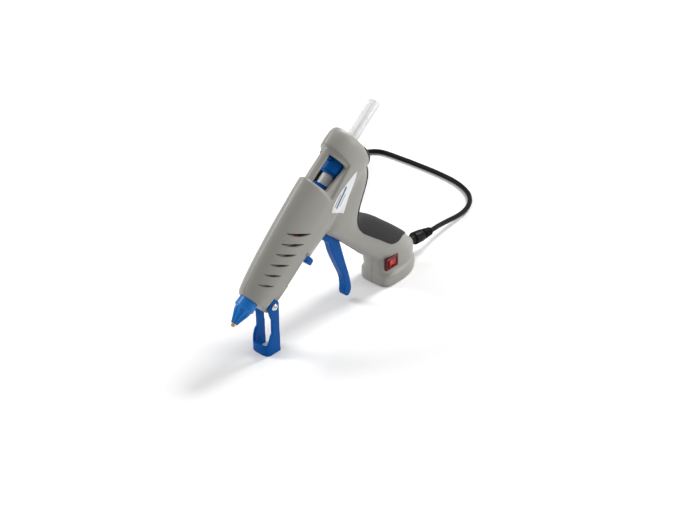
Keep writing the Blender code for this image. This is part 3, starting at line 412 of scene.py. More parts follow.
# One row for each ring: height, shift of the front and the rear, half width.
BASE = (
    (0.0, 1.2, -1.5, 17.2), (1.3, 0.0, 0.0, 18.3), (11.6, 0.0, 0.0, 18.5), (12.6, 0.3, -0.5, 17.6),
    (13.6, 0.8, -1.6, 15.3), (20.0, 0.3, -0.9, 15.9), (28.0, -1.0, -2.0, 16.4), (34.0, 1.0, -14.0, 15.0),
)
BARREL_WAIST = -2.0                        # height of the barrel's widest line
BARREL_SQUARENESS = (2.9, 1.75)            # underside, top
BARREL_GAP, BASE_GAP = 0.4, 0.2            # rings nearer than this to the last one are left out
HANDLE_REAR_SQUARENESS = 2.4
HANDLE_LEAN, HANDLE_LEAN_FROM = 0.0035, 90.0   # the handle's widest line moves rearward above this height
BASE_LENGTH, BASE_WAIST = 56.0, 24.0       # whole length; front to the widest point
BASE_SQUARENESS = (4.5, 2.2)               # front, rear
BARREL_SIDES, HANDLE_SIDES, BASE_SIDES = 96, 64, 72
# The sunken panel round the window, along and up from the barrel's axis.
RECESS = ((109.5, -1.0), (112.0, 18.0), (113.0, 45.0), (147.0, 45.0), (146.5, 20.0), (144.2, 2.6))
RECESS_MIDDLE = 120.0                      # the corners in front of this are the panel's front end
RECESS_DEPTH = 2.6
DIP_TOP, DIP_SIDE = 1.6, 0.85              # share of a dip that the barrel's top and its sides sink by

VENTS = 6
# A slot's spine has three points: along and its step from slot to slot, up and its step.
VENT_SPINE = ((12.9, 9.9, 11.8, 1.2), (15.6, 10.46, 7.0, 0.38), (19.6, 11.24, 0.0, -0.36))
VENT_HALF, VENT_HALF_STEP = 0.95, 0.1      # half width of the first slot, and its growth from slot to slot
VENT_TAPER, VENT_TIP = 0.75, 0.1           # power of the taper; share of the width left at the tips
VENT_LEAN = (0.7, 1.3)                     # share of the half width on each side of the spine
VENT_FROM = 4.5

# Cuts, as outlines along and up from the barrel's axis, each with the distance from the middle plane it starts at.
# Beside the keel nothing is hollow, so that the nests of the folded stand have a floor.
KEEL_SIDE, KEEL_SIDE_FROM = ((-8.0, -44.0), (64.5, -44.0), (64.5, -8.0), (-8.0, -8.0)), 5.6
STAND_NEST = ((-4.0, -40.0), (62.0, -40.0), (62.0, -12.6), (50.6, -12.6), (49.6, -10.0), (20.5, -14.8),
              (16.0, -12.2), (11.5, -10.4), (-4.0, -10.4))
NEST_FROM = 7.6
KEEL_CHAMFER, CHAMFER_FROM = ((30.0, -40.0), (61.5, -40.0), (61.5, -26.4), (30.0, -26.4)), 6.0
WINDOW = ((112.8, 7.2), (134.0, 3.6), (140.4, 3.0), (141.6, 5.6), (141.2, 34.0), (112.2, 34.0))
WINDOW_FROM = 3.8
# Slot for the trigger, in world X and Z.
TRIGGER_SLOT = (
    (TRIGGER_PIVOT_X - 13.0, TRIGGER_PIVOT_Z - 13.0), (BASE_FRONT_X - 17.5, 38.0), (BASE_FRONT_X - 19.0, 46.0),
    (BASE_FRONT_X - 23.5, 56.0), (TRIGGER_PIVOT_X + 22.0, TRIGGER_PIVOT_Z - 2.0),
    (TRIGGER_PIVOT_X - 8.0, TRIGGER_PIVOT_Z + 10.0), (TRIGGER_PIVOT_X - 17.0, TRIGGER_PIVOT_Z + 1.0),
)
SLOT_HALF = 5.6
NOZZLE_MOUTH = (-6.0, 6.0, 9.0)            # from and to along the barrel, radius
STICK_MOUTH = (150.0, 175.0, 6.9)
CORD_MOUTH = (-4.0, 12.0, 4.9)             # from and to along the boot, radius
CATCH_AT = (60.0, -30.0)                   # along and up from the barrel's axis
CATCH_SLOT = (4.4, 4.0, 12.0, 9.0)         # half length, half width, reach down and up
BARREL_SCREWS = ((88.0, 14.2), (153.0, 15.0), (152.0, -15.5))   # along and up from the barrel's axis
HANDLE_SCREWS = ((-42.0, 107.0), (-14.0, 54.0), (28.0, 8.5))    # X from the base's front, Z
POCKET_FROM, POCKET_TO = 9.5, 40.0
POCKET_RADII = (3.0, 3.4)                  # at its floor, past the surface
HALF_LENGTH, HALF_WIDTH, HALF_LOW, HALF_HIGH = 300.0, 60.0, -60.0, 320.0   # a box far past one side of the gun


def oval_ring(low, waist, high, half_width, n_low, n_high, sides):
    ring = []
    for step in range(sides):
        angle = 2 * math.pi * (step + 0.5) / sides
        c, s = math.cos(angle), math.sin(angle)
        power = 2.0 / (n_high if c > 0 else n_low)
        reach = abs(c) ** power
        tip = high if c > 0 else low
        ring.append((waist[0] + (tip[0] - waist[0]) * reach, math.copysign(half_width * abs(s) ** power, s),
                     waist[1] + (tip[1] - waist[1]) * reach))
    return ring


def barrel_solid(bm, inset, dip=0.0):
    """The barrel, smaller all round by inset; dip also sinks its top and its sides."""
    rings = []
    last = None
    for along, top, bottom, width in smooth_line(BARREL, per_span=3):
        along = min(max(along, BARREL[0][0] + inset), BARREL[-1][0] - inset)
        if last is not None and along - last < BARREL_GAP:
            continue
        last = along
        low = barrel_point(along, inset - bottom)
        high = barrel_point(along, top - inset - dip * DIP_TOP)
        waist = barrel_point(along, BARREL_WAIST)
        rings.append(oval_ring(low[::2], waist[::2], high[::2], width - inset - dip * DIP_SIDE, *BARREL_SQUARENESS,
                               BARREL_SIDES))
    loft(bm, rings)


def handle_solid(bm, inset):
    rings = []
    ends = smooth_line([(*front, *rear) for front, rear, _, _ in HANDLE], per_span=4)
    shapes = smooth_line([(width, squareness) for _, _, width, squareness in HANDLE], per_span=4)
    shift = Vector((BASE_FRONT_X, 0.0))
    for end, (width, squareness) in zip(ends, shapes):
        front, rear = Vector(end[:2]) + shift, Vector(end[2:]) + shift
        pull = (rear - front).normalized() * inset
        low, high = front + pull, rear - pull
        waist = low.lerp(high, 0.5 + HANDLE_LEAN * max(rear.y - HANDLE_LEAN_FROM, 0.0))
        rings.append(oval_ring(low, waist, high, width - inset, squareness, HANDLE_REAR_SQUARENESS, HANDLE_SIDES))
    loft(bm, rings)


def base_solid(bm, inset):
    rings = []
    centre = BASE_FRONT_X + BASE_WAIST
    for height, front, rear, width in BASE:
        height = min(max(height, inset), BASE[-1][0] - inset)
        if rings and height - rings[-1][0][2] < BASE_GAP:
            continue
        ring = []
        for step in range(BASE_SIDES):
            angle = 2 * math.pi * (step + 0.5) / BASE_SIDES
            c, s = math.cos(angle), math.sin(angle)
            if c > 0:
                power, reach = 2 / BASE_SQUARENESS[1], BASE_LENGTH - BASE_WAIST + rear - inset
            else:
                power, reach = 2 / BASE_SQUARENESS[0], BASE_WAIST - front - inset
            ring.append((centre + math.copysign(reach * abs(c) ** power, c),
                         math.copysign((width - inset) * abs(s) ** power, s), height))
        rings.append(ring)
    loft(bm, rings)


def recess_room(grow):
    """What the sunken panel round the window takes away, over a barrel that is smaller by grow."""
    ring = [(a + (-grow if a < RECESS_MIDDLE else grow), h - grow) for a, h in RECESS]
    room = make(lambda bm: barrel_prism(bm, ring, -PAST_SIDE, PAST_SIDE))
    return combine(room, lambda bm: barrel_solid(bm, grow, RECESS_DEPTH), "DIFFERENCE")


def body_solid(inset, voxel, rounds):
    body = make(lambda bm: barrel_solid(bm, inset))
    combine(body, lambda bm: handle_solid(bm, inset), "UNION")
    combine(body, lambda bm: base_solid(bm, inset), "UNION")
    combine(body, recess_room(inset), "DIFFERENCE")
    return soften(body, voxel, rounds)


def vent(bm, number, side):
    """One crescent cooling slot: thick in the middle and pointed at both ends, longer toward the rear."""
    spine = smooth_line([(a + a_step * number, h + h_step * number) for a, a_step, h, h_step in VENT_SPINE],
                        per_span=9)
    left, right = [], []
    for index, point in enumerate(spine):
        run = (spine[min(index + 1, len(spine) - 1)] - spine[max(index - 1, 0)]).normalized()
        t = index / (len(spine) - 1)
        half = (VENT_HALF + VENT_HALF_STEP * number) * max(math.sin(math.pi * t) ** VENT_TAPER, VENT_TIP)
        left.append((point.x - run.y * half * VENT_LEAN[0], point.y + run.x * half * VENT_LEAN[0]))
        right.append((point.x + run.y * half * VENT_LEAN[1], point.y - run.x * half * VENT_LEAN[1]))
    barrel_prism(bm, left + right[::-1], *sorted((side * VENT_FROM, side * PAST_SIDE)))


def both_sides(bm, outline, start):
    """The same prism on each side of the middle plane, from start outward."""
    for side in (-1, 1):
        barrel_prism(bm, outline, *sorted((side * start, side * PAST_SIDE)))


def switch_block(bm, half_length, near, far, half_height):
    """A box centred on the switch, between two Y values."""
    block(bm, (SWITCH_X - half_length, near, SWITCH_Z - half_height),
          (SWITCH_X + half_length, far, SWITCH_Z + half_height))


def relief_point(distance):
    """A point on the axis of the cord's boot, so far from where the boot begins."""
    start, end = Vector(BOOT_START), Vector(BOOT_END)
    point = start + (end - start).normalized() * distance
    return (point.x, 0.0, point.y)


def relief_length():
    return (Vector(relief_point(0.0)) - Vector((BOOT_END[0], 0.0, BOOT_END[1]))).length


def housing():
    """Both shells; returns the solid skin that the grip and the label are laid on."""
    body = body_solid(inset=0.0, voxel=0.8, rounds=12)
    skin = copy_of(body)
    inner = body_solid(inset=WALL, voxel=1.2, rounds=2)
    combine(inner, lambda bm: both_sides(bm, KEEL_SIDE, KEEL_SIDE_FROM), "DIFFERENCE")
    combine(body, inner, "DIFFERENCE")

    def high_openings(bm):
        barrel_rod(bm, *NOZZLE_MOUTH)
        barrel_rod(bm, *STICK_MOUTH)
        both_sides(bm, STAND_NEST, NEST_FROM)

    def low_openings(bm):
        prism(bm, TRIGGER_SLOT, -SLOT_HALF, SLOT_HALF)
        switch_block(bm, half_length=8.7, near=-PAST_SIDE, far=-13.9, half_height=6.5)
        x, _, z = barrel_point(*CATCH_AT)
        length, width, down, up = CATCH_SLOT
        block(bm, (x - length, -width, z - down), (x + length, width, z + up))
        start, end, radius = CORD_MOUTH
        rod(bm, relief_point(start), relief_point(end), radius)

    combine(body, high_openings, "DIFFERENCE")
    combine(body, lambda bm: both_sides(bm, KEEL_CHAMFER, CHAMFER_FROM), "DIFFERENCE")
    combine(body, lambda bm: both_sides(bm, WINDOW, WINDOW_FROM), "DIFFERENCE")
    combine(body, lambda bm: [vent(bm, number, side) for side in (-1, 1) for number in range(VENTS)], "DIFFERENCE")
    combine(body, low_openings, "DIFFERENCE")
    combine(body, lambda bm: switch_block(bm, half_length=7.0, near=-25.0, far=-6.0, half_height=4.8), "DIFFERENCE")

    pockets = [barrel_point(a, h)[::2] for a, h in BARREL_SCREWS]
    pockets += [(BASE_FRONT_X + x, z) for x, z in HANDLE_SCREWS]
    for name, side, node in (("housing_left", -1, "left_shell"), ("housing_right", 1, "right_shell")):
        half = copy_of(body)
        near, far = sorted((side * SEAM_GAP, side * HALF_WIDTH))
        combine(half, lambda bm: block(bm, (-HALF_LENGTH, near, HALF_LOW), (HALF_LENGTH, far, HALF_HIGH)), "INTERSECT")
        if side > 0:
            combine(half, lambda bm: [rod(bm, (x, POCKET_FROM, z), (x, POCKET_TO, z), *POCKET_RADII)
                                      for x, z in pockets], "DIFFERENCE")
        show(half, name, GREY, "casing", node, angle=32.0)
    bpy.data.objects.remove(body, do_unlink=True)
    return skin


# ---------------------------------------------------------------- pieces laid on the housing

LAYER_FROM = 0.04                          # clearance under a layer on the housing
GRIP_TOP, LABEL_TOP, INK_FROM, INK_TOP = 0.6, 0.22, 0.225, 0.27
# The grip's front edge, in X from the base's front and Z, then two corners behind the gun.
GRIP_EDGE = (
    (-28.0, 162.0), (-23.0, 151.0), (-20.5, 143.0), (-21.5, 136.0), (-25.0, 128.0), (-29.0, 119.0), (-33.5, 110.0),
    (-36.5, 101.0), (-37.5, 92.0), (-35.5, 83.5), (-29.5, 75.0), (-19.0, 66.5), (-6.0, 57.0), (3.0, 50.0),
    (8.0, 46.6), (13.0, 44.9), (18.0, 44.3), (23.0, 44.6), (28.0, 45.0), (34.0, 43.6), (41.0, 40.5),
)
GRIP_CORNERS = [(60.0, 60.0), (60.0, 165.0)]
# The label's outline and the root of its bars, along and up from the barrel's axis.
LABEL_EDGE = (
    (145.6, -9.2), (140.0, -7.6), (134.5, -6.6), (127.0, -5.6), (119.3, -5.1), (113.5, -5.5), (109.3, -6.4),
    (105.2, -8.0), (102.0, -10.2), (106.0, -18.5), (110.4, -27.6), (126.0, -20.2), (141.5, -12.7),
)
BARS_ROOT, BARS_SLOPE = (106.5, -18.0), (31.5, 8.0)
BARS = ((2.0, 21.0, 3.2, 2.4), (2.2, 13.0, 7.2, 0.8), (5.0, 12.0, 0.4, 0.8))   # start, length, offset, width
BAR_LEAN = 0.6


def skin_patch(skin, bottom, top, cutter):
    """A thin layer over the housing, between two heights above it, kept inside the cutter."""
    patch = copy_of(skin)
    swell(patch, top)
    combine(patch, cutter, "INTERSECT")
    under = copy_of(skin)
    swell(under, bottom)
    return combine(patch, under, "DIFFERENCE")


def grip(skin):
    """Rubber over the back of the handle, with a narrow strip up the rear of the barrel."""
    edge = [tuple(p) for p in smooth_line(GRIP_EDGE, per_span=5)]
    outline = [(x + BASE_FRONT_X, z) for x, z in edge + GRIP_CORNERS]
    item = skin_patch(skin, LAYER_FROM, GRIP_TOP, lambda bm: prism(bm, outline, -PAST_SIDE, PAST_SIDE))
    show(item, "rubber_grip", RUBBER, "casing", "soft_grip", angle=45.0)


def label(skin):
    """White tapered sticker on the left side, with plain bars in place of lettering."""
    near, far = -PAST_SIDE, -3.0
    sheet = skin_patch(skin, LAYER_FROM, LABEL_TOP, lambda bm: barrel_prism(bm, LABEL_EDGE, near, far))
    show(sheet, "label_sheet", WHITE, "casing", "label", angle=45.0)
    slope = Vector(BARS_SLOPE).normalized()
    across = Vector((-slope.y, slope.x))
    marks = []
    for start, length, offset, wide in BARS:
        root = Vector(BARS_ROOT) + slope * start + across * offset
        corners = ((0.0, 0.0), (length, 0.0), (length + wide * BAR_LEAN, wide), (wide * BAR_LEAN, wide))
        marks.append([tuple(root + slope * along + across * up) for along, up in corners])
    ink = skin_patch(skin, INK_FROM, INK_TOP, lambda bm: [barrel_prism(bm, mark, near, far) for mark in marks])
    show(ink, "label_marks", INK, "casing", angle=45.0)


# ---------------------------------------------------------------- separate pieces

NOZZLE_OUTSIDE = [
    (0.0, 8.5), (-3.0, 8.75), (-8.2, 9.2), (-9.2, 9.1), (-9.9, 8.4), (-10.3, 7.7), (-12.0, 7.2), (-15.0, 6.1),
    (-18.0, 5.0), (-21.0, 4.0), (-23.6, 3.2), (-24.7, 3.0), (-25.0, 2.7),
]
NOZZLE_BORE = [(-20.0, 2.6), (-8.0, 4.6)]
NOZZLE_BORE_MOUTH = (0.0, 4.6)
RIB_DEPTH = 0.10                           # share of the radius
RIBS_FROM, RIBS_RISE = 10.0, 4.0           # where the ribs begin; length over which they grow to full depth
RIB_WAVES, RIB_SHARPNESS = 5.0, 6.0
# The trigger's blade, in X from the base's front and Z.
BLADE = (
    (-73.0, 85.0), (-68.5, 79.5), (-63.0, 75.0), (-58.6, 61.5), (-51.5, 45.5), (-44.6, 30.8), (-42.2, 21.0),
    (-42.6, 13.0), (-41.6, 8.6), (-38.6, 6.4), (-35.4, 7.6), (-33.6, 12.0), (-34.0, 18.5), (-36.8, 30.4),
    (-41.0, 43.4), (-45.5, 58.2), (-50.0, 72.7), (-54.6, 83.0), (-58.5, 92.0), (-63.0, 98.0), (-70.0, 98.0),
    (-74.0, 93.0),
)
BLADE_HALF, FORK_INNER, FORK_OUTER = 3.9, 2.5, 4.8
DRIVE_AT = (101.0, -16.0)                  # the fork's cross pin, along and up from the barrel's axis
DRIVE_HALF, DRIVE_RADIUS = 4.0, 1.6
PIN_HALF = 10                              # half the length of the cutter for the pivot pin
TRIGGER_EYE = 2.3                          # radius of the hole for the pivot pin
STAND_HALF, STAND_THICK = 10.6, 2.6        # half the stand's width; thickness of an arm and of the hoop
STAND_BULGE = 8.4                          # how far the hoop stands out in front of the arms
STAND_END = 6.2                            # radius of the arm's end round its pivot
STAND_HOLE, STAND_HOLE_HALF = 2.0, 20      # radius of the pivot's hole; half the length of its cutter
HOOP_HEIGHT, HOOP_RISE = 9.6, 13.0         # height of the hoop's middle, and how much higher its ends are
HOOP_RISE_FROM = 0.75                      # the hoop starts to rise where it turns back to the arms
HOOP_ROUND = (0.55, 0.62)                  # powers that square its outline, front and sides
CATCH_EDGE = (
    (57.7, -43.0), (58.6, -45.6), (63.2, -45.2), (64.2, -42.6), (63.8, -24.6), (59.8, -24.6), (59.6, -37.5),
    (57.9, -38.5),
)
CATCH_HALF = 3.4
SWITCH_FACE = -17.4
ROCKER_TILT = math.radians(8.0)
ROCKER_HALF = 3.6
ROCKER_DEPTH = 1.6                         # its pivot line behind the bezel's face
# The rocker's section, along it and into the switch.
ROCKER = (
    (-5.4, -2.1), (-4.0, -1.5), (-2.0, -0.9), (0.0, -0.7), (2.0, -0.9), (4.0, -1.5), (5.4, -2.1), (5.0, 2.4),
    (0.0, 4.6), (-5.0, 2.4),
)
# The boot's collar, as distance along its axis and radius, up to its ribs.
BOOT_COLLAR = [
    (0.0, CORD_RADIUS + 0.35), (0.0, 5.2), (2.2, 5.3), (2.3, 4.5), (14.3, 4.5), (15.2, 6.0), (16.0, 6.3),
    (25.5, 6.1), (27.0, 5.9), (27.8, 5.2),
]
BOOT_RIBS = 5
RIB_ROOT, RIB_PITCH = 28.4, 2.5            # where the first rib begins; step to the next
RIB_RADIUS, RIB_SHRINK = 5.4, 0.32         # radius of the first rib, and how much thinner the next is
RIB_GROOVE, RIB_EDGE = 1.2, 0.15           # depth of the groove before a rib; height of its rounded edge
GLUE_STICK = (
    (46.0, 0.0), (46.6, 3.2), (47.4, 4.8), (49.0, 5.6), (207.2, 5.6), (207.8, 5.35), (208.0, 4.9), (207.8, 0.0),
)


def lathe(name, profile, place, axis, mat, body, *nodes, sides=96, ripple=None):
    """Turned piece from (along, radius) points; ripple changes the radius with angle."""
    turn = Vector(axis).normalized().to_track_quat("X", "Z").to_matrix()
    bm = bmesh.new()
    rings = []
    for step in range(sides):
        angle = 2 * math.pi * step / sides
        ring = []
        for x, r in profile:
            radius = r if ripple is None else r * (1.0 + ripple(x, angle))
            local = Vector((x, radius * math.cos(angle), radius * math.sin(angle)))
            ring.append(bm.verts.new(Vector(place) + turn @ local))
        rings.append(ring)
    for ring, after in zip(rings, rings[1:] + rings[:1]):
        for index in range(len(profile)):
            nxt = (index + 1) % len(profile)
            if profile[index][1] > 0 or profile[nxt][1] > 0:
                bm.faces.new((ring[index], ring[nxt], after[nxt], after[index]))
    bmesh.ops.remove_doubles(bm, verts=bm.verts, dist=WELD)
    bmesh.ops.dissolve_degenerate(bm, dist=WELD, edges=bm.edges)
    return show(add(name, bm), name, mat, body, *nodes)


def barrel_axis():
    return Vector(barrel_point(1.0, 0.0)) - Vector(barrel_point(0.0, 0.0))


def nozzle():
    def ribs(x, angle):
        depth = RIB_DEPTH * min(max((-x - RIBS_FROM) / RIBS_RISE, 0.0), 1.0)
        return depth * (2.0 * abs(math.cos(angle * RIB_WAVES)) ** RIB_SHARPNESS - 1.0)

    profile = [NOZZLE_BORE_MOUTH] + NOZZLE_OUTSIDE + NOZZLE_BORE
    lathe("nozzle_cone", profile, barrel_point(0, 0), barrel_axis(), SILICONE, "casing", "nozzle_sleeve", sides=160,
          ripple=ribs)


def trigger():
    x, z = TRIGGER_PIVOT_X, TRIGGER_PIVOT_Z
    outline = [(p.x + BASE_FRONT_X, p.y) for p in smooth_line(BLADE, per_span=5, closed=True)]
    drive_x, _, drive_z = barrel_point(*DRIVE_AT)
    plate = ((x - 5.0, z - 2.0), (x + 5.0, z - 2.0), (drive_x + 3.0, drive_z + 0.5), (drive_x + 1.2, drive_z + 3.0),
             (drive_x - 1.6, drive_z + 3.0), (drive_x - 3.2, drive_z))
    item = make(lambda bm: prism(bm, outline, -BLADE_HALF, BLADE_HALF))
    combine(item, lambda bm: prism(bm, plate, -FORK_OUTER, -FORK_INNER), "UNION")
    combine(item, lambda bm: prism(bm, plate, FORK_INNER, FORK_OUTER), "UNION")
    combine(item, lambda bm: rod(bm, (drive_x, -DRIVE_HALF, drive_z), (drive_x, DRIVE_HALF, drive_z), DRIVE_RADIUS),
            "UNION")
    soften(item, voxel=0.45, rounds=6)
    combine(item, lambda bm: rod(bm, (x, -PIN_HALF, z), (x, PIN_HALF, z), TRIGGER_EYE), "DIFFERENCE")
    show(item, "trigger_lever", BLUE, "trigger", "trigger")


def stand():
    x, _, z = barrel_point(*STAND_PIVOT)
    front, back = x - 2.4, x + 6.0

    def arm(bm, side):
        turns = [math.pi * k / 20 for k in range(0, 21)]
        outline = [(x + STAND_END * math.cos(a), z + STAND_END * math.sin(a)) for a in turns]
        outline += [(x - 5.9, z - 3.0), (x - 4.9, z - 8.0), (front - 0.4, z - 13.0), (front, z - 18.0), (front, 0.0),
                    (back + 0.8, 0.0), (back + 0.8, 3.4), (back, 4.4), (back, z - 14.0), (x + STAND_END, z - 6.0)]
        prism(bm, outline, *sorted((side * (STAND_HALF - STAND_THICK), side * STAND_HALF)))

    def hoop(bm):
        rings = []
        steps = 40
        for k in range(steps + 1):
            angle = math.pi * k / steps
            c, s = math.cos(angle), math.sin(angle)
            height = HOOP_HEIGHT + HOOP_RISE * max(0.0, 1.0 - s / HOOP_RISE_FROM)
            reach, side = s ** HOOP_ROUND[0], -math.copysign(abs(c) ** HOOP_ROUND[1], c)
            outer = (front + 0.4 - STAND_BULGE * reach, STAND_HALF * side)
            inner = (front + 0.4 - (STAND_BULGE - STAND_THICK) * reach, (STAND_HALF - STAND_THICK) * side)
            rings.append([(*outer, 0.0), (*outer, height), (*inner, height), (*inner, 0.0)])
        loft(bm, rings)

    item = make(lambda bm: arm(bm, -1))
    combine(item, hoop, "UNION")
    combine(item, lambda bm: arm(bm, 1), "UNION")
    soften(item, voxel=0.4, rounds=4)
    combine(item, lambda bm: rod(bm, (x, -STAND_HOLE_HALF, z), (x, STAND_HOLE_HALF, z), STAND_HOLE), "DIFFERENCE")
    show(item, "front_stand", BLUE, "stand", "stand")
    face = STAND_HALF + 0.3
    profile = [(2.6, 0.0), (2.6, 1.5), (3.2, 1.6), (face, 1.6), (face, 3.3), (face + 0.5, 3.4), (face + 1.1, 3.0),
               (face + 1.6, 2.2), (face + 1.9, 1.2), (face + 1.6, 1.0), (face + 1.2, 0.8), (face + 1.2, 0.0)]
    for name, side in (("stand_screw_left", -1), ("stand_screw_right", 1)):
        lathe(f"{name}_fine", profile, (x, 0.0, z), (0.0, side, 0.0), STEEL, "casing", name, sides=48)


def catch():
    item = make(lambda bm: barrel_prism(bm, CATCH_EDGE, -CATCH_HALF, CATCH_HALF))
    soften(item, voxel=0.35, rounds=3)
    show(item, "catch_nub", BLUE, "catch", "stand_catch")


def switch():
    face = SWITCH_FACE
    item = make(lambda bm: switch_block(bm, 8.4, face, face + 3.2, 6.2))                          # bezel
    combine(item, lambda bm: switch_block(bm, 6.6, face + 3.0, face + 11.0, 4.4), "UNION")         # body
    combine(item, lambda bm: switch_block(bm, 6.0, face - 5.0, face + 8.5, 3.9), "DIFFERENCE")     # rocker's well
    soften(item, voxel=0.3, rounds=3)
    show(item, "switch_bezel", RED_DARK, "casing", "switch_body")
    c, s = math.cos(ROCKER_TILT), math.sin(ROCKER_TILT)
    ring = [(SWITCH_X + u * c - v * s, face + ROCKER_DEPTH + u * s + v * c) for u, v in ROCKER]
    heights = (SWITCH_Z - ROCKER_HALF, SWITCH_Z + ROCKER_HALF)
    item = make(lambda bm: loft(bm, [[(a, b, height) for a, b in ring] for height in heights]))
    soften(item, voxel=0.22, rounds=2)
    show(item, "switch_key", RED_LIT, "rocker", "switch_rocker")


def relief():
    """The boot that the cord leaves by: a collar and ribs that grow thinner along it."""
    length = relief_length()
    profile = list(BOOT_COLLAR)
    for rib in range(BOOT_RIBS):
        along = RIB_ROOT + rib * RIB_PITCH
        radius = RIB_RADIUS - rib * RIB_SHRINK
        profile += [(along, radius - RIB_GROOVE), (along + 0.9, radius - RIB_GROOVE), (along + 1.1, radius - RIB_EDGE),
                    (along + 1.4, radius), (along + 1.9, radius), (along + 2.2, radius - RIB_EDGE)]
    profile += [(length - 0.4, 3.5), (length, 3.2), (length, CORD_RADIUS + 0.35)]
    axis = Vector(relief_point(1.0)) - Vector(relief_point(0.0))
    lathe("strain_boot", profile, relief_point(0.0), axis, BLACK, "casing", "strain_relief", sides=64)


def glue_stick():
    lathe("stick_fine", GLUE_STICK, barrel_point(0, 0), barrel_axis(), GLUE, "stick", "glue_stick", sides=72)


# ---------------------------------------------------------------- cord

EXIT_GAP = 0.3                             # from the boot's end to where the cord begins
HANK_CENTRE = (BASE_FRONT_X + 121.0, 155.0)
HANK_ANGLE = math.radians(32.0)
HANK_STRAIGHT = 31.0                       # half the length of a straight run
LAP_OUTER, LAP_INNER = 21.0, 15.4          # half the hank's width at its outer and inner turns
LAP_STEPS = 44
LOW, MID, TOP = 3.6, 8.9, 14.2             # heights of the hank's three layers
OVER = TOP + 5.4                           # height of the end that crosses the top
# From the boot to the hank: X from the base's front, Y and Z.
FREE_RUN = (
    (96.5, 1.2, 16.8), (108.0, 4.4, 13.6), (128.0, 8.0, 9.0), (142.0, 9.8, 6.2), (156.0, 12.2, 4.0),
    (170.0, 16.2, 3.0), (183.0, 23.0, 2.8), (195.5, 37.0, 2.8), (203.5, 59.0, 2.8), (206.0, 84.0, 2.8),
    (206.0, 110.0, 2.8), (205.0, 134.0, 2.8), (203.7, 152.3, 2.9), (200.9, 162.8, 3.2), (193.2, 170.5, 3.4),
    (182.7, 173.3, 3.6),
)
# The hank's ends and turns are along it, across it and up.
HANK_ENTRY = ((50.9, 17.4, 3.6), (40.0, 20.0, 3.6))
LAPS = (                                   # radius and height at the start and the end, quarters between them
    ((LAP_OUTER, LOW), (LAP_INNER, LOW), (3.5, 4.0)), ((LAP_INNER, LOW), (LAP_INNER, MID), (3.05, 3.5)),
    ((LAP_INNER, MID), (LAP_OUTER, MID), (2.7, 3.05)), ((LAP_OUTER, MID), (LAP_OUTER, TOP), (2.35, 2.7)),
    ((LAP_OUTER, TOP), (LAP_INNER, TOP), (2.0, 2.35)), ((LAP_INNER, TOP), (LAP_INNER, TOP), (0.0, 1.0)),
)
HANK_EXIT = (
    (HANK_STRAIGHT, LAP_INNER, TOP), (20.0, 14.0, TOP + 0.4), (7.0, 9.6, TOP + 3.2), (-7.0, 3.2, OVER),
    (-23.0, -5.2, OVER), (-36.0, -11.0, OVER), (-46.0, -13.6, OVER - 1.2), (-54.0, -14.0, OVER - 4.6),
    (-62.0, -14.0, OVER - 8.8), (-70.3, -14.0, 8.0),
)
ROUTE_STEP, ROUTE_LAST_STEP = 2.4, 1.2     # shortest steps between the route's points
ROUTE_SMOOTHING = 3
STRAP_SIDES = 48
STRAP_RIMS = ((-3.0, 0.1), (-2.6, 0.0), (2.6, 0.0), (3.0, 0.1))   # along the hank, how much the rim is cut back
STRAP_WIDE, STRAP_HIGH, STRAP_MIDDLE = 24.4, 22.6, 11.4           # half width, height, height of its centre
STRAP_THICK = 0.7
STRAP_SQUARENESS = 0.35


def hank_point(along, across, height):
    c, s = math.cos(HANK_ANGLE), math.sin(HANK_ANGLE)
    return Vector((HANK_CENTRE[0] + along * c + across * s, HANK_CENTRE[1] + along * s - across * c, height))


def lap(start, end, window):
    """One turn of the hank; its radius and height change from start to end inside the window of quarters."""
    points = []
    for k in range(LAP_STEPS):
        q = 4.0 * k / LAP_STEPS
        t = min(max((q - window[0]) / (window[1] - window[0]), 0.0), 1.0)
        t = t * t * (3.0 - 2.0 * t)
        r, z = (a + (b - a) * t for a, b in zip(start, end))
        if q < 1.0:
            along, across = HANK_STRAIGHT * (1.0 - 2.0 * q), r
        elif q < 2.0:
            turn = math.pi * (q - 0.5)
            along, across = -HANK_STRAIGHT + r * math.cos(turn), r * math.sin(turn)
        elif q < 3.0:
            along, across = HANK_STRAIGHT * (2.0 * (q - 2.0) - 1.0), -r
        else:
            turn = math.pi * (q - 1.5)
            along, across = HANK_STRAIGHT + r * math.cos(turn), r * math.sin(turn)
        points.append(hank_point(along, across, z))
    return points


def cord_route(exit_point):
    """The cord's centreline: the free run, the wound hank and the end that crosses it to the plug."""
    first = [exit_point, *[(BASE_FRONT_X + x, y, z) for x, y, z in FREE_RUN], *[hank_point(*p) for p in HANK_ENTRY]]
    wound = [point for turn in LAPS for point in lap(*turn)]
    last = [hank_point(*p) for p in HANK_EXIT]
    line = smooth_line(first, per_span=10)[:-1] + smooth_line(wound, per_span=2)[:-1] + smooth_line(last, per_span=6)
    route = [line[0]]
    for point in line[1:]:
        if (point - route[-1]).length > ROUTE_STEP:
            route.append(point)
    if (line[-1] - route[-1]).length < ROUTE_LAST_STEP:
        route.pop()
    route.append(line[-1])
    for _ in range(ROUTE_SMOOTHING):
        middle = [(a + b * 2 + c) / 4 for a, b, c in zip(route[1:], route[2:], route[3:])]
        route = [route[0], route[1]] + middle + [route[-1]]
    return route


def strap_loop(along, trim, thinner):
    """One loop round the hank, trimmed at the strap's rims and thinner by the strap's thickness inside."""
    wide, half_high = STRAP_WIDE - trim - thinner, (STRAP_HIGH - trim) / 2 - thinner
    loop = []
    for k in range(STRAP_SIDES):
        a = 2 * math.pi * k / STRAP_SIDES
        c, s = math.cos(a), math.sin(a)
        loop.append(hank_point(along, math.copysign(wide * abs(c) ** STRAP_SQUARENESS, c),
                               STRAP_MIDDLE + math.copysign(half_high * abs(s) ** STRAP_SQUARENESS, s)))
    return loop


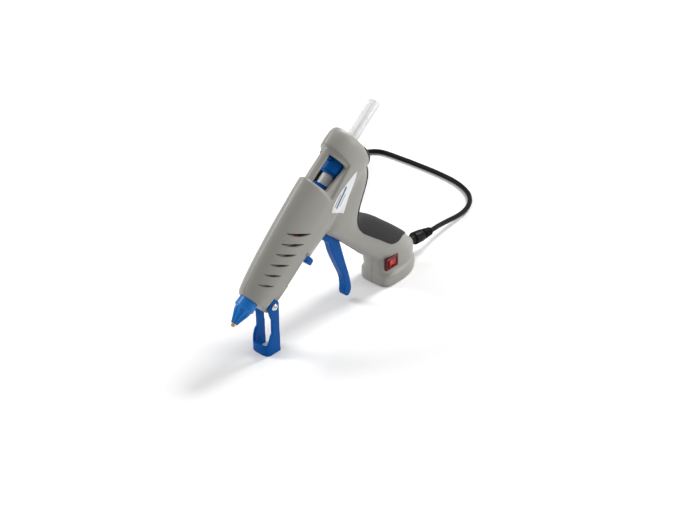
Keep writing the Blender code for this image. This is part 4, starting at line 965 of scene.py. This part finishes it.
def hank_strap():
    bm = bmesh.new()
    outer, inner = [[[bm.verts.new(p) for p in strap_loop(along, trim, thinner)] for along, trim in STRAP_RIMS]
                    for thinner in (0.0, STRAP_THICK)]
    pairs = [*zip(outer, outer[1:]), *zip(inner, inner[1:]), (outer[0], inner[0]), (outer[-1], inner[-1])]
    for row, after in pairs:
        for k in range(STRAP_SIDES):
            nxt = (k + 1) % STRAP_SIDES
            bm.faces.new((row[k], row[nxt], after[nxt], after[k]))
    return show(add("hank_strap", bm), "hank_strap", BLACK, "casing", "hank_tie")


def cord():
    exit_point = relief_point(relief_length() + EXIT_GAP)
    route = cord_route(exit_point)
    curve = bpy.data.curves.new("mains_cord", "CURVE")
    curve.dimensions = "3D"
    curve.bevel_depth = CORD_RADIUS * MM
    curve.bevel_resolution = 5
    curve.use_fill_caps = True
    spline = curve.splines.new("POLY")
    spline.points.add(len(route) - 1)
    for point, place in zip(spline.points, route):
        point.co = (*(place * MM), 1.0)
    item = bpy.data.objects.new("mains_cord", curve)
    PIECES.objects.link(item)
    curve.materials.append(CORD)
    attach(item, "casing")
    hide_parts("cord", "cord_hank", "cord_tail")

    tie = hank_strap()


# ---------------------------------------------------------------- CAD nodes that stay

def dress_frame():
    """Materials for the CAD nodes that no finer piece stands for."""
    kept = {
        BLUE: ("front_guide", "feed_carriage", "grip_lever"),
        BRASS: ("nozzle_tip", "plug_blade_left", "plug_blade_right"),
        STEEL: ("valve_ball", "valve_spring", "heater_clip", "trigger_pin", "trigger_spring",
                "clamp_screw_lower", "clamp_screw_upper", *[f"shell_screw_{k}" for k in range(1, 7)]),
        CAST: ("melt_chamber",), CERAMIC: ("heater_plate",), INLET: ("inlet_sleeve",), GREY: ("cord_clamp",),
        CORD: ("cord_inner",), WIRE_BLUE: ("lead_neutral",), WIRE_BROWN: ("lead_live", "lead_switch"),
        BLACK: ("plug_body",),
    }
    for mat, nodes in kept.items():
        for node in nodes:
            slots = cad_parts[node].data.materials
            slots.clear()
            slots.append(mat)


look_from_photo()
studio()
cord()
SKIN = housing()
grip(SKIN)
label(SKIN)
bpy.data.objects.remove(SKIN, do_unlink=True)
nozzle()
trigger()
stand()
catch()
switch()
relief()
glue_stick()
dress_frame()
